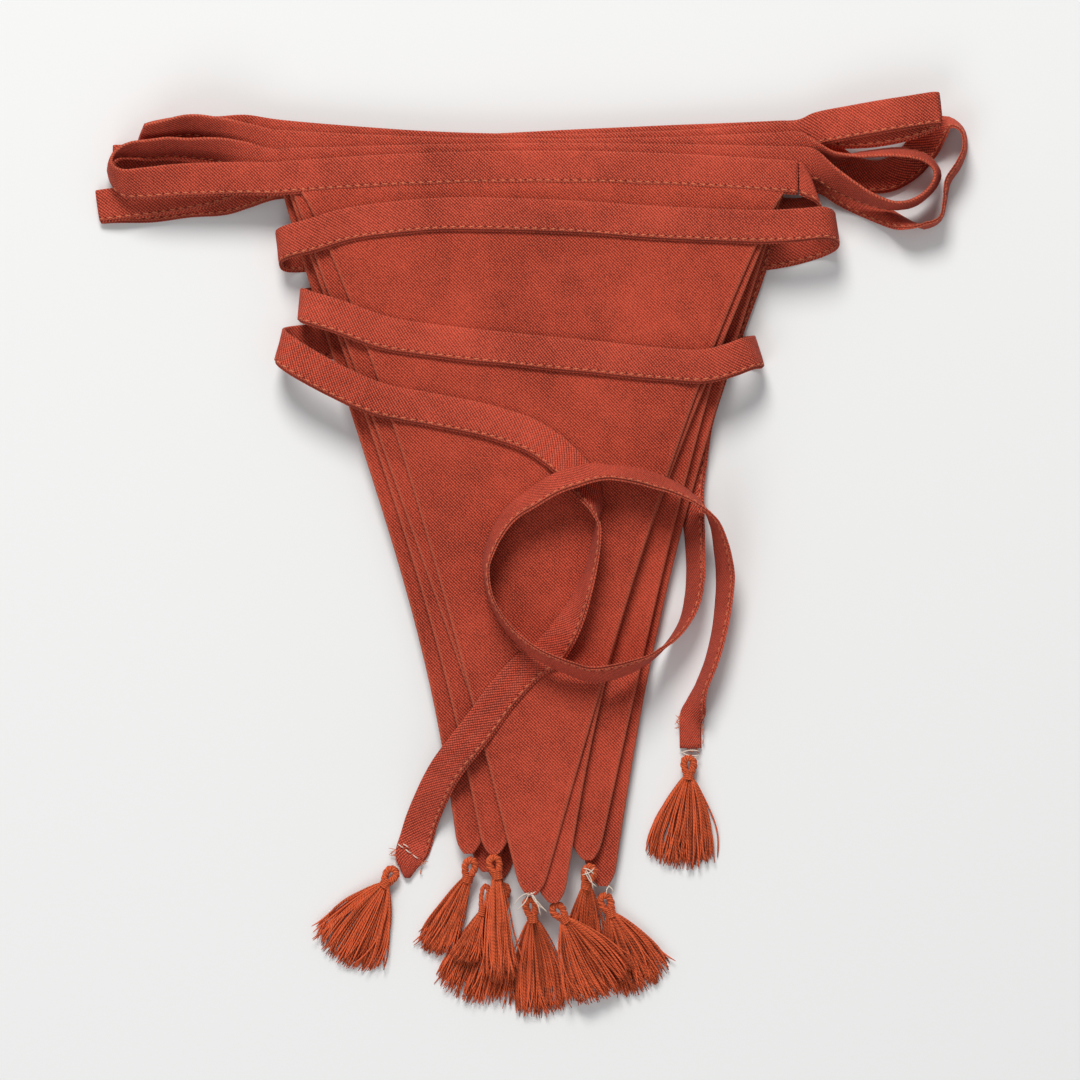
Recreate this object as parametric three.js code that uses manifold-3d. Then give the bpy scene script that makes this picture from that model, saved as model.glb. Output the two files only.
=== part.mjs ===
// A fabric bunting folded into a stack: eight long triangular flags on one narrow tape, the tape's
// free ends tied round and laid over the stack, and a tassel at every tip and at both tape ends.
// Millimetres, +Z up. The stack lies on z = 0 with its tips towards -Y and its heading along X.

import * as THREE from 'three';
import { mergeVertices } from 'three/addons/utils/BufferGeometryUtils.js';
import Module from 'manifold-3d';

const wasm = await Module();
wasm.setup();

// Driving sizes

const TAPE_WIDTH = 10.5;
const TAPE_THICK = 1.2;
const FLAG_THICK = 1.2;
const LAYER_GAP = 0.4;
// The cloth stops this far short of the tape that takes in its top
const HEADING_GAP = 1.0;
// Half the width of the blunt tip
const FLAG_TIP_HALF = 3.4;
const FLAG_COLUMNS = 4;
const FLAG_ROWS = 15;

const LAYER = FLAG_THICK + LAYER_GAP;
const LAYERS = 8;
const STACK_THICK = LAYERS * LAYER - LAYER_GAP;

// The upper half of the stack lies on the turns of the ties that pass under it, and the lower half
// comes down to the floor.
const LIFT_MIDDLE = 2.5;
const LIFT_SLOPE = 0.8 / 75;
const LIFT_FULL_Y = 50;
const LIFT_NONE_Y = -20;

// Colours of the cloth, the tape and the yarn

const CLOTH = { color: 0xb34a35, roughness: 0.9, metalness: 0 };
const TAPE = { color: 0xba4f39, roughness: 0.9, metalness: 0 };
const YARN = { color: 0xb5522a, roughness: 0.85, metalness: 0 };

const radians = (degrees) => THREE.MathUtils.degToRad(degrees);

// Height of the underside of the stack above the floor
function liftAt(x, y) {
  const ramp = THREE.MathUtils.smoothstep(y, LIFT_NONE_Y, LIFT_FULL_Y);
  return (LIFT_MIDDLE + LIFT_SLOPE * x) * ramp;
}

// Height of the underside of one layer, counted from 1 at the bottom
function layerFloor(layer, x, y) {
  return liftAt(x, y) + (layer - 1) * LAYER;
}

// The flags, from the top of the stack down. The layer counts from the floor. The heading is the
// middle line of the tape at its left, middle and right, and the corners and the tip are those of
// the cloth. Each side is hollowed by some millimetres, most where the share of its length is.

const HEADING_LEFT = -73.6;
const HEADING_MIDDLE = 3.2;
const HEADING_RIGHT = 74.5;

const FLAGS = [
  // name, layer, heading y left, middle, right, left x, right x, tip x, tip y, hollow left, right, low
  ['flag_1', 8, 121.6, 124.5, 121.9, -73.6, 81.6, 0.5, -107, 6.2, 6.2, 0.7],
  ['flag_2', 7, 125.6, 127.0, 126.1, -77.6, 83.0, 7.5, -109.5, 0, 9.6, 1.2],
  ['flag_3', 6, 131.0, 128.6, 130.2, -80.5, 74.5, -11.5, -94, 5, 5, 1.4],
  ['flag_4', 5, 134.2, 130.2, 133.3, -75.0, 84.0, 18.5, -96, 6.2, 5.4, 0.7],
  ['flag_5', 4, 127.5, 131.2, 134.3, -81.0, 77.0, -19.8, -94, 5.8, 5, 1.6],
  ['flag_6', 3, 121.5, 130.2, 131.8, -73.6, 84.0, 23.5, -104.5, 6.2, 6.2, 1.2],
  ['flag_7', 2, 126.8, 129.3, 124.6, -79.0, 77.0, -14.0, -100, 6.2, 6.2, 0.9],
  ['flag_8', 1, 126.0, 128.3, 128.6, -80.0, 75.0, -10.2, -102.5, 6.2, 6.2, 0.9],
];

// Middle line of the tape along one flag, a curve through its three heights
function headingY(flag, x) {
  const [, , left, middle, right] = flag;
  const a = (x - HEADING_MIDDLE) * (x - HEADING_RIGHT);
  const b = (x - HEADING_LEFT) * (x - HEADING_RIGHT);
  const c = (x - HEADING_LEFT) * (x - HEADING_MIDDLE);
  const spanLeft = (HEADING_LEFT - HEADING_MIDDLE) * (HEADING_LEFT - HEADING_RIGHT);
  const spanMiddle = (HEADING_MIDDLE - HEADING_LEFT) * (HEADING_MIDDLE - HEADING_RIGHT);
  const spanRight = (HEADING_RIGHT - HEADING_LEFT) * (HEADING_RIGHT - HEADING_MIDDLE);
  return (left * a) / spanLeft + (middle * b) / spanMiddle + (right * c) / spanRight;
}

// Routes of the tape. Each row is one section across the tape: where its middle lies, whether its
// height counts from the floor (0) or from the top flag (1), and which way its folded edge faces,
// as a compass angle from +X and a lean above the level. Two more columns give the width and the
// thickness where the tape's end is turned in and sewn.

const LOOP_8_7 = [
  // x, y, on, z, turn, lean
  [-91.0, 121.0, 0, 13.5, 90, 4],
  [-112.0, 120.5, 0, 13.2, 90, 12],
  [-124.0, 119.5, 0, 12.6, 90, 25],
  [-130.0, 119.5, 0, 11.6, 92, 34],
  [-133.5, 122.0, 0, 10.0, 86, 50],
  [-134.5, 126.0, 0, 9.2, 60, 68],
  [-132.5, 129.2, 0, 9.0, 50, 74],
  [-128.0, 130.4, 0, 9.0, 80, 66],
  [-121.5, 130.6, 0, 9.0, 90, 58],
  [-116.0, 131.2, 0, 9.4, 90, 58],
  [-109.0, 130.8, 0, 9.8, 90, 58],
  [-100.0, 130.2, 0, 10.4, 90, 46],
  [-91.0, 127.8, 0, 11.5, 90, 20],
];

const LOOP_6_5 = [
  [-91.0, 134.0, 0, 11.4, 90, 24],
  [-100.0, 136.6, 0, 12.2, 90, 44],
  [-109.0, 138.0, 0, 12.6, 90, 55],
  [-118.5, 136.2, 0, 11.8, 78, 56],
  [-124.6, 135.4, 0, 10.2, 58, 52],
  [-118.5, 136.8, 0, 8.2, 78, 56],
  [-109.0, 137.2, 0, 7.6, 90, 45],
  [-100.0, 136.4, 0, 7.2, 90, 28],
  [-91.0, 136.4, 0, 8.6, 90, 8],
];

const LOOP_4_3 = [
  [-91.0, 122.4, 0, 6.3, 98, 0],
  [-101.0, 118.4, 0, 5.1, 98, 0],
  [-111.0, 116.3, 0, 4.7, 97, 0],
  [-122.0, 114.6, 0, 4.2, 98, 0],
  [-134.5, 113.2, 0, 3.4, 98, 0],
  [-139.0, 112.6, 0, 2.0, 98, 0],
  [-134.0, 112.8, 0, 0.7, 98, 0],
  [-121.5, 113.2, 0, 0.7, 92, 4],
  [-109.0, 114.4, 0, 1.7, 90, 10],
  [-98.0, 115.4, 0, 2.6, 96, 8],
  [-90.0, 117.6, 0, 4.7, 98, 3],
];

const LOOP_2_1 = [
  [-91.0, 127.2, 0, 3.0, 90, 0],
  [-101.0, 127.2, 0, 2.3, 90, 0],
  [-121.5, 127.2, 0, 2.2, 90, 0],
  [-131.0, 127.2, 0, 2.2, 90, 0],
  [-134.0, 127.2, 0, 1.4, 90, 0],
  [-131.0, 127.0, 0, 0.6, 90, 0],
  [-121.5, 127.0, 0, 0.6, 90, 0],
  [-101.0, 126.5, 0, 0.6, 90, 0],
  [-91.0, 126.0, 0, 1.3, 90, 0],
];

const LOOP_7_6 = [
  [91.0, 125.3, 0, 12.9, 90, 22],
  [97.0, 121.0, 0, 10.8, 84, 46],
  [108.0, 115.0, 0, 9.6, 75, 72],
  [116.0, 112.5, 0, 9.2, 70, 80],
  [123.0, 113.5, 0, 9.2, 120, 80],
  [129.0, 118.5, 0, 9.2, 180, 78],
  [130.5, 123.0, 0, 9.2, 190, 76],
  [127.0, 127.5, 0, 9.2, 250, 74],
  [118.5, 129.6, 0, 9.2, 265, 72],
  [105.5, 128.8, 0, 9.2, 268, 80],
  [97.0, 128.0, 0, 9.7, 90, 76],
  [91.0, 128.6, 0, 12.0, 90, 34],
];

const LOOP_5_4 = [
  [91.0, 136.8, 0, 11.2, 97, 0],
  [102.5, 139.0, 0, 12.8, 99, 0],
  [120.0, 142.0, 0, 13.4, 99, 0],
  [131.0, 143.5, 0, 11.8, 96, 0],
  [122.0, 139.2, 0, 10.0, 110, 0],
  [112.0, 137.0, 0, 9.8, 102, 0],
  [102.5, 136.1, 0, 9.7, 98, 0],
  [91.0, 136.3, 0, 9.3, 97, 0],
];

const LOOP_3_2 = [
  [91.0, 131.6, 0, 6.8, 76, -3],
  [97.5, 127.2, 0, 3.7, 66, 0],
  [105.0, 123.2, 0, 2.5, 82, 0],
  [114.0, 122.5, 0, 2.2, 104, 0],
  [121.5, 126.5, 0, 2.2, 128, 0],
  [126.5, 132.5, 0, 2.4, 138, -4],
  [130.5, 137.5, 0, 4.4, 130, -38],
  [134.5, 139.5, 0, 5.6, 90, -70],
  [138.5, 137.0, 0, 5.6, 40, -80],
  [139.5, 131.5, 0, 5.6, 0, -82],
  [137.5, 126.0, 0, 5.6, -30, -80],
  [134.0, 120.5, 0, 5.6, -20, -80],
  [133.0, 114.0, 0, 5.6, 0, -84],
  [131.5, 108.5, 0, 5.6, -45, -86],
  [126.5, 106.3, 0, 5.5, -80, -84],
  [119.5, 107.6, 0, 4.6, 105, -62],
  [112.0, 111.0, 0, 1.9, 112, -16],
  [104.0, 114.6, 0, 0.7, 114, -2],
  [97.5, 118.0, 0, 1.7, 112, -4],
  [92.0, 121.8, 0, 4.2, 104, -4],
];

// Each loop joins the ends of two layers, in the order in which the tape runs through them
const LOOPS = [LOOP_8_7, LOOP_7_6, LOOP_6_5, LOOP_5_4, LOOP_4_3, LOOP_3_2, LOOP_2_1];
const PASS_X = [-82.5, -76, -35, 5, 43, 79, 85.5];

// Three turns round the stack, then on edge through the ring and down to the floor
const LONG_TIE = [
  [85.9, 121.1, 0, 15.2, 90, 0],
  [90.0, 118.2, 0, 14.8, 108, 0],
  [91.4, 115.0, 0, 13.2, 112, 0],
  [91.8, 112.6, 0, 10.6, 108, 0],
  [90.4, 111.0, 0, 7.0, 100, 0],
  [87.2, 110.2, 0, 3.0, 94, 0],
  [82.0, 110.2, 0, 0.7, 90, 0],
  [67.0, 110.2, 0, 0.6, 90, 0],
  [22.5, 106.5, 0, 0.6, 90, 0],
  [-25.5, 101.5, 0, 0.6, 90, 0],
  [-64.0, 98.0, 0, 0.6, 90, 0],
  [-76.0, 97.0, 0, 0.8, 90, 0],
  [-79.5, 97.5, 0, 4.5, 92, 0],
  [-80.5, 99.0, 0, 8.0, 96, 0],
  [-79.5, 100.0, 0, 11.5, 100, 0],
  [-76.5, 101.0, 0, 14.0, 102, 0],
  [-70.5, 102.5, 1, 1.2, 102, 0],
  [-59.0, 106.0, 1, 1.2, 102, 0],
  [-41.0, 108.5, 1, 1.2, 96, 0],
  [-24.5, 109.5, 1, 1.2, 91, 0],
  [3.0, 109.0, 1, 1.2, 90, 0],
  [44.0, 106.5, 1, 1.2, 88, 0],
  [74.5, 105.5, 1, 1.2, 90, 0],
  [86.5, 106.0, 1, 1.2, 92, 0],
  [94.5, 106.6, 1, 0.2, 96, 0],
  [97.4, 105.6, 0, 12.6, 98, 0],
  [97.8, 104.8, 0, 8.0, 100, 0],
  [96.4, 103.4, 0, 3.6, 102, 0],
  [92.0, 101.4, 0, 0.8, 102, 0],
  [80.0, 98.4, 0, 0.6, 94, 0],
  [38.5, 94.5, 0, 0.6, 94, 0],
  [-16.0, 87.5, 0, 0.6, 96, 0],
  [-61.0, 82.0, 0, 0.6, 96, 0],
  [-70.0, 81.5, 0, 0.8, 94, 0],
  [-73.0, 81.0, 0, 4.5, 90, 0],
  [-73.5, 81.0, 0, 8.2, 84, 0],
  [-72.5, 80.5, 0, 11.6, 78, 0],
  [-70.0, 79.5, 0, 14.0, 72, 0],
  [-62.0, 77.0, 1, 1.5, 70, 0],
  [-46.0, 71.5, 1, 1.5, 76, 0],
  [-26.5, 68.5, 1, 1.5, 82, 0],
  [-3.0, 66.0, 1, 1.5, 84, 0],
  [22.5, 63.5, 1, 1.7, 83, 0],
  [43.0, 61.5, 1, 1.8, 88, 0],
  [55.5, 61.0, 1, 1.8, 96, 0],
  [64.0, 63.0, 0, 15.8, 106, 0],
  [69.5, 65.0, 0, 14.2, 112, 0],
  [72.2, 65.5, 0, 10.6, 112, 0],
  [73.2, 66.0, 0, 6.0, 108, 0],
  [72.8, 66.0, 0, 2.6, 104, 0],
  [70.8, 65.8, 0, 0.8, 100, 0],
  [66.0, 65.5, 0, 0.6, 96, 0],
  [51.0, 65.0, 0, 0.6, 92, 0],
  [9.5, 65.5, 0, 0.6, 90, 0],
  [-41.5, 67.5, 0, 0.6, 90, 0],
  [-70.0, 69.5, 0, 0.8, 92, 0],
  [-77.0, 69.0, 0, 2.4, 84, 0],
  [-79.5, 68.5, 0, 5.4, 80, 0],
  [-80.0, 68.0, 0, 8.4, 75, 0],
  [-79.5, 67.0, 0, 11.6, 68, 0],
  [-77.0, 65.0, 0, 14.2, 62, 0],
  [-71.5, 61.5, 1, 1.5, 60, 0],
  [-62.5, 56.5, 1, 1.5, 66, 0],
  [-48.5, 50.5, 1, 1.5, 74, 0],
  [-28.5, 46.5, 1, 1.5, 80, 0],
  [-12.0, 43.0, 1, 1.5, 77, 0],
  [0.0, 39.0, 1, 1.5, 68, 0],
  [7.5, 34.0, 1, 1.5, 52, 0],
  [13.0, 29.0, 1, 1.9, 46, -5],
  [16.5, 24.5, 1, 3.2, 35, -18],
  [19.0, 20.5, 1, 4.8, 22, -42],
  [21.0, 15.5, 1, 5.8, 10, -70],
  [21.5, 10.0, 1, 6.0, 180, -82],
  [21.0, 4.0, 1, 6.0, 176, -78],
  [19.5, -3.5, 1, 5.9, 170, -74],
  [17.0, -11.0, 1, 5.6, 160, -64],
  [13.5, -19.0, 1, 4.8, 152, -46],
  [9.0, -26.5, 1, 3.2, 145, -22],
  [5.0, -31.5, 1, 1.6, 141, -6],
  [0.5, -34.0, 1, 1.2, 140, 0],
  [-8.5, -43.5, 1, 1.2, 141, 0],
  [-15.5, -53.0, 1, 1.1, 142, 0],
  [-21.0, -60.0, 0, 13.8, 146, -6],
  [-25.8, -66.0, 0, 11.8, 148, -12],
  [-29.2, -71.5, 0, 9.0, 150, -16],
  [-32.2, -78.0, 0, 5.6, 156, -12],
  [-35.0, -85.0, 0, 2.3, 160, -6],
  [-36.8, -91.0, 0, 0.8, 163, 0],
  [-38.0, -94.5, 0, 1.1, 168, 0, 10.5, 2.2],
  [-38.7, -97.0, 0, 1.1, 174, 0, 9.4, 2.2],
  [-39.2, -100.0, 0, 1.1, 178, 0, 5.6, 2.0],
  [-39.4, -103.4, 0, 0.9, 180, 0, 1.6, 1.6],
];

// From under the heading down the right-hand edge of the stack, round in a ring on top of it and
// over its own start to the floor
const SHORT_TIE = [
  [77.0, 127.5, 0, 2.25, 185, 0],
  [76.0, 117.5, 0, 2.25, 188, 0],
  [72.6, 98.0, 0, 2.25, 190, 0],
  [65.4, 76.0, 0, 2.25, 194, 0],
  [57.6, 55.0, 0, 2.25, 194, 0],
  [52.8, 39.0, 0, 2.25, 190, -2],
  [51.2, 28.5, 0, 2.4, 184, -8],
  [50.6, 20.0, 0, 2.5, 180, -20],
  [52.2, 12.0, 0, 4.9, 180, -54],
  [52.9, 2.0, 0, 5.2, 180, -59],
  [53.0, -6.0, 0, 5.3, 175, -60],
  [52.0, -14.0, 0, 5.4, 165, -64],
  [49.5, -21.0, 0, 5.8, 150, -76],
  [46.0, -26.0, 0, 7.2, 140, -84],
  [41.5, -30.0, 0, 10.4, 280, -84],
  [38.0, -32.5, 0, 13.2, 280, -80],
  [32.5, -35.0, 0, 16.0, 275, -70],
  [25.5, -37.0, 0, 18.0, 270, -64],
  [19.0, -37.5, 1, 5.8, 268, -64],
  [13.0, -35.5, 1, 7.6, 250, -68],
  [8.0, -33.5, 1, 8.6, 240, -70],
  [0.5, -29.5, 1, 8.2, 235, -74],
  [-7.0, -22.5, 1, 6.2, 225, -80],
  [-12.5, -13.0, 1, 5.9, 200, -84],
  [-14.0, -3.5, 1, 5.8, 180, -82],
  [-13.0, 1.5, 1, 5.8, 165, -76],
  [-10.5, 7.5, 1, 5.7, 150, -70],
  [-6.0, 14.0, 1, 5.5, 135, -64],
  [1.0, 19.0, 1, 6.9, 125, -58],
  [8.5, 23.5, 1, 8.2, 115, -54],
  [14.0, 25.5, 1, 8.9, 108, -54],
  [20.0, 27.0, 1, 8.6, 100, -58],
  [25.5, 27.0, 1, 7.6, 90, -66],
  [33.5, 26.0, 1, 6.8, 78, -64],
  [40.5, 24.0, 1, 6.4, 65, -64],
  [48.0, 21.0, 0, 19.0, 45, -72],
  [54.0, 17.0, 0, 17.0, 10, -82],
  [58.6, 11.5, 0, 14.8, 190, -78],
  [61.2, 3.0, 0, 10.6, 188, -66],
  [62.5, -6.0, 0, 7.2, 182, -60],
  [62.0, -14.5, 0, 5.7, 178, -63],
  [60.5, -24.5, 0, 5.4, 172, -68],
  [58.0, -34.0, 0, 5.4, 166, -71],
  [54.8, -42.0, 0, 5.3, 162, -72],
  [53.0, -47.0, 0, 4.6, 172, -58],
  [52.0, -51.0, 0, 2.7, 178, -24, 8.5, 1.8],
  [51.5, -53.8, 0, 1.5, 179, 0, 6.8, 2.6],
  [51.5, -62.0, 0, 1.5, 180, 0, 6.8, 2.6],
];

// The tassels. Each has a looped head, a bound neck and a skirt whose strands fan out from the neck
// and come down to the height at which they lie.

const HEAD_SIDES = 8;
const STRAND_STEPS = 3;
const STRAND_HEIGHT = 1.1;
// Half a strand's width as a share of the distance from one strand to the next
const STRAND_FILL = 0.34;
const ROOT_WIDTH = 3.0;
const ROOT_DEPTH = 1.2;
const SHORTER_AT_EDGE = 0.1;
// Share of a strand's length over which it drops from the neck to where it lies
const DROP_SHARE = 2 / 3;
const HEAD_PROFILE = [
  // along the axis from the neck, radius
  [-6.8, 0],
  [-6.3, 1.3],
  [-4.9, 2.4],
  [-3.2, 2.6],
  [-1.6, 2.0],
  [-0.6, 1.6],
  [0.4, 1.6],
  [1.2, 2.5],
  [2.8, 2.5],
  [3.1, 0],
];

const TASSELS = [
  // name, neck x, y, z, head x, y, z, aim, spread, length, lying height, strands in a row, head girth
  ['tassel_flag_1', 0.8, -115.5, 8.4, 0.2, -111.5, 9.6, 275, 33, 31.7, 0, 12, 1],
  ['tassel_flag_2', 11.0, -115.9, 7.6, 9.0, -113.3, 8.2, 299, 44, 28.5, 3.4, 12, 1],
  ['tassel_flag_3', -10.6, -101.8, 8.4, -11.4, -98.2, 8.7, 271.0, 10, 34, 5.0, 9, 1],
  ['tassel_flag_4', 18.2, -105.0, 6.4, 19.0, -101.2, 7.6, 267, 24, 25, 0, 8, 1],
  ['tassel_flag_5', -20.0, -103.0, 4.8, -19.2, -99.2, 5.8, 243, 18, 27, 0, 9, 1],
  ['tassel_flag_6', 25.8, -114.4, 2.8, 24.3, -110.7, 3.2, 292, 44, 27, 0, 12, 1],
  ['tassel_flag_7', -15.4, -114.0, 4.8, -14.4, -107.6, 3.7, 248, 22, 17, 3.2, 8, 0.66],
  ['tassel_flag_8', -9.9, -111.0, 2.6, -8.9, -107.6, 2.8, 251.5, 40, 33, 0, 12, 1],
  ['tassel_tie_long', -46.5, -105.0, 2.8, -44.8, -102.2, 2.8, 240, 50, 29, 0, 12, 1],
  ['tassel_tie_short', 51.0, -70.2, 2.8, 51.0, -66.6, 2.8, 263, 44, 29.5, 0, 12, 1],
];

// Closed solids from rings of points

// Joins rings of equal length one to the next and closes both ends, across from point to point
function loft(rings) {
  const count = rings[0].length;
  const vertices = rings.flat();
  const index = [];
  for (let i = 0; i + 1 < rings.length; i += 1) {
    for (let j = 0; j < count; j += 1) {
      const a = i * count + j;
      const b = i * count + ((j + 1) % count);
      index.push(a, b, b + count, a, b + count, a + count);
    }
  }
  const last = (rings.length - 1) * count;
  for (let near = 0, far = count - 1; near + 1 < far; near += 1, far -= 1) {
    if (near + 1 < far - 1) {
      index.push(near, far - 1, near + 1);
      index.push(last + near, last + near + 1, last + far - 1);
    }
    index.push(near, far, far - 1);
    index.push(last + near, last + far - 1, last + far);
  }
  const geometry = new THREE.BufferGeometry().setFromPoints(vertices);
  geometry.setIndex(index);
  return facingOut(geometry);
}

// Turns a closed geometry the right way out
function facingOut(geometry) {
  const position = geometry.getAttribute('position');
  const index = geometry.getIndex();
  const a = new THREE.Vector3();
  const b = new THREE.Vector3();
  const c = new THREE.Vector3();
  let volume = 0;
  for (let i = 0; i < index.count; i += 3) {
    a.fromBufferAttribute(position, index.getX(i));
    b.fromBufferAttribute(position, index.getX(i + 1));
    c.fromBufferAttribute(position, index.getX(i + 2));
    volume += a.dot(b.cross(c));
  }
  if (volume < 0) {
    const turned = Array.from(index.array);
    for (let i = 0; i < turned.length; i += 3) {
      [turned[i + 1], turned[i + 2]] = [turned[i + 2], turned[i + 1]];
    }
    geometry.setIndex(turned);
  }
  return geometry;
}

function toSolid(geometry) {
  const bare = geometry.clone();
  bare.deleteAttribute('normal');
  bare.deleteAttribute('uv');
  const merged = mergeVertices(bare);
  return new wasm.Manifold(new wasm.Mesh({
    numProp: 3,
    vertProperties: new Float32Array(merged.getAttribute('position').array),
    triVerts: new Uint32Array(merged.getIndex().array),
  }));
}

function fromSolid(solid) {
  const mesh = solid.getMesh();
  const geometry = new THREE.BufferGeometry();
  geometry.setAttribute('position', new THREE.BufferAttribute(mesh.vertProperties, 3));
  geometry.setIndex(Array.from(mesh.triVerts));
  return geometry;
}

// The tape

const SPAN_STEPS = 8;
const TURN_PER_SECTION = radians(16);
const LONGEST_SECTION = 22;

// One section across the tape from a row of a route
function section(row) {
  const [x, y, on, z, turn, lean, wide = TAPE_WIDTH, thick = TAPE_THICK] = row;
  const height = on ? liftAt(x, y) + STACK_THICK + z : z;
  const level = Math.cos(radians(lean));
  return {
    middle: new THREE.Vector3(x, y, height),
    across: new THREE.Vector3(
      level * Math.cos(radians(turn)),
      level * Math.sin(radians(turn)),
      Math.sin(radians(lean)),
    ),
    wide,
    thick,
  };
}

// Sections along a smooth curve through the route's own, close together where the tape bends
function sectionsAlong(route) {
  const given = route.map(section);
  const curve = new THREE.CatmullRomCurve3(given.map((s) => s.middle), false, 'centripetal');
  const spans = given.length - 1;
  const fine = [];
  for (let i = 0; i <= spans * SPAN_STEPS; i += 1) {
    const share = i / (spans * SPAN_STEPS);
    const span = Math.min(Math.floor(i / SPAN_STEPS), spans - 1);
    const part = i / SPAN_STEPS - span;
    fine.push({
      middle: curve.getPoint(share),
      along: curve.getTangent(share),
      across: given[span].across.clone().lerp(given[span + 1].across, part).normalize(),
      wide: THREE.MathUtils.lerp(given[span].wide, given[span + 1].wide, part),
      thick: THREE.MathUtils.lerp(given[span].thick, given[span + 1].thick, part),
    });
  }
  const kept = [fine[0]];
  for (let i = 1; i < fine.length - 1; i += 1) {
    const from = kept[kept.length - 1];
    const next = fine[i + 1];
    const bent = from.along.angleTo(next.along) + from.across.angleTo(next.across);
    if (bent > TURN_PER_SECTION || from.middle.distanceTo(next.middle) > LONGEST_SECTION) {
      kept.push(fine[i]);
    }
  }
  kept.push(fine[fine.length - 1]);
  return kept;
}

function tape(route) {
  const rings = sectionsAlong(route).map(({ middle, along, across, wide, thick }) => {
    const face = along.clone().cross(across).normalize().multiplyScalar(thick / 2);
    const edge = across.clone().multiplyScalar(wide / 2);
    const corners = [
      middle.clone().add(edge).add(face),
      middle.clone().sub(edge).add(face),
      middle.clone().sub(edge).sub(face),
      middle.clone().add(edge).sub(face),
    ];
    return corners.map((corner) => corner.setZ(Math.max(0, corner.z)));
  });
  return loft(rings);
}

// The tape's stretch along one flag, from left to right
function passRows(flag) {
  return PASS_X.map((x) => {
    const y = headingY(flag, x);
    return [x, y, 0, layerFloor(flag[1], x, y) + TAPE_THICK / 2, 90, 0];
  });
}

// Back and forth over the stack from the top flag's right end to the bottom flag's
function headingRoute() {
  const route = [];
  FLAGS.forEach((flag, i) => {
    const rows = passRows(flag);
    const towardsLeft = i % 2 === 0;
    route.push(...(towardsLeft ? rows.reverse() : rows));
    route.push(...(LOOPS[i] ?? []));
  });
  return route;
}

// The flags

function flagSolid(flag) {
  const [, layer, , , , left, right, tipX, tipY, hollowLeft, hollowRight, low] = flag;
  const sheetPoint = (u, v) => {
    const hollow = Math.sin(Math.PI * v ** low);
    const leftX = THREE.MathUtils.lerp(left, tipX - FLAG_TIP_HALF, v) + hollowLeft * hollow;
    const rightX = THREE.MathUtils.lerp(right, tipX + FLAG_TIP_HALF, v) - hollowRight * hollow;
    const topX = THREE.MathUtils.lerp(left, right, u);
    const topY = headingY(flag, topX) - TAPE_WIDTH / 2 - HEADING_GAP;
    const x = THREE.MathUtils.lerp(leftX, rightX, u);
    const y = THREE.MathUtils.lerp(topY, tipY, v);
    return new THREE.Vector3(x, y, layerFloor(layer, x, y));
  };
  const rings = [];
  for (let row = 0; row <= FLAG_ROWS; row += 1) {
    const under = [];
    for (let column = 0; column <= FLAG_COLUMNS; column += 1) {
      under.push(sheetPoint(column / FLAG_COLUMNS, row / FLAG_ROWS));
    }
    const over = under.map((p) => p.clone().setZ(p.z + FLAG_THICK)).reverse();
    rings.push([...under, ...over]);
  }
  return loft(rings);
}

// The tassels

function tasselHead(neck, head, girth) {
  const profile = HEAD_PROFILE.map(([along, radius]) => new THREE.Vector2(radius * girth, along));
  const geometry = new THREE.LatheGeometry(profile, HEAD_SIDES);
  const along = neck.clone().sub(head).normalize();
  const turn = new THREE.Quaternion().setFromUnitVectors(new THREE.Vector3(0, 1, 0), along);
  return geometry.applyQuaternion(turn).translate(neck.x, neck.y, neck.z);
}

// A strand of three sides, flat below, that drops from the neck and ends lying level
function strand(root, aim, length, lyingZ, rootHalf, endHalf) {
  const forward = new THREE.Vector3(Math.cos(aim), Math.sin(aim), 0);
  const side = new THREE.Vector3(-forward.y, forward.x, 0);
  const rings = [];
  for (let i = 0; i <= STRAND_STEPS; i += 1) {
    const share = i / STRAND_STEPS;
    const half = THREE.MathUtils.lerp(rootHalf, endHalf, share);
    const foot = root.clone().addScaledVector(forward, length * share);
    foot.z = lyingZ + (root.z - lyingZ) * Math.max(0, 1 - share / DROP_SHARE) ** 2;
    rings.push([
      foot.clone().addScaledVector(side, half),
      foot.clone().addScaledVector(side, -half),
      foot.clone().setZ(foot.z + STRAND_HEIGHT),
    ]);
  }
  return loft(rings);
}

function tasselSolid(row) {
  const [, nx, ny, nz, hx, hy, hz, aim, spread, length, lyingZ, perRow, girth] = row;
  const neck = new THREE.Vector3(nx, ny, nz);
  const head = new THREE.Vector3(hx, hy, hz);
  const middleAim = radians(aim);
  const side = new THREE.Vector3(-Math.sin(middleAim), Math.cos(middleAim), 0);
  const forward = new THREE.Vector3(Math.cos(middleAim), Math.sin(middleAim), 0);
  const rootPitch = (ROOT_WIDTH * girth) / perRow;
  const endPitch = (ROOT_WIDTH * girth + radians(spread) * length) / perRow;
  const parts = [toSolid(tasselHead(neck, head, girth))];
  for (const layer of [0, 1]) {
    const count = perRow - layer;
    for (let i = 0; i < count; i += 1) {
      const place = (i + 0.5 + layer / 2) / perRow - 0.5;
      const root = neck.clone()
        .addScaledVector(side, place * ROOT_WIDTH * girth)
        .addScaledVector(forward, ROOT_DEPTH)
        .setZ(nz + (layer - 1) * STRAND_HEIGHT);
      parts.push(toSolid(strand(
        root,
        middleAim + place * radians(spread),
        length * (1 - SHORTER_AT_EDGE * (2 * place) ** 2),
        lyingZ + layer * (STRAND_HEIGHT + LAYER_GAP),
        rootPitch * STRAND_FILL,
        endPitch * STRAND_FILL,
      )));
    }
  }
  return fromSolid(wasm.Manifold.union(parts));
}

// The whole bunting

function named(name, geometry, finish) {
  const mesh = new THREE.Mesh(geometry, new THREE.MeshStandardMaterial(finish));
  mesh.name = name;
  return mesh;
}

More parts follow.
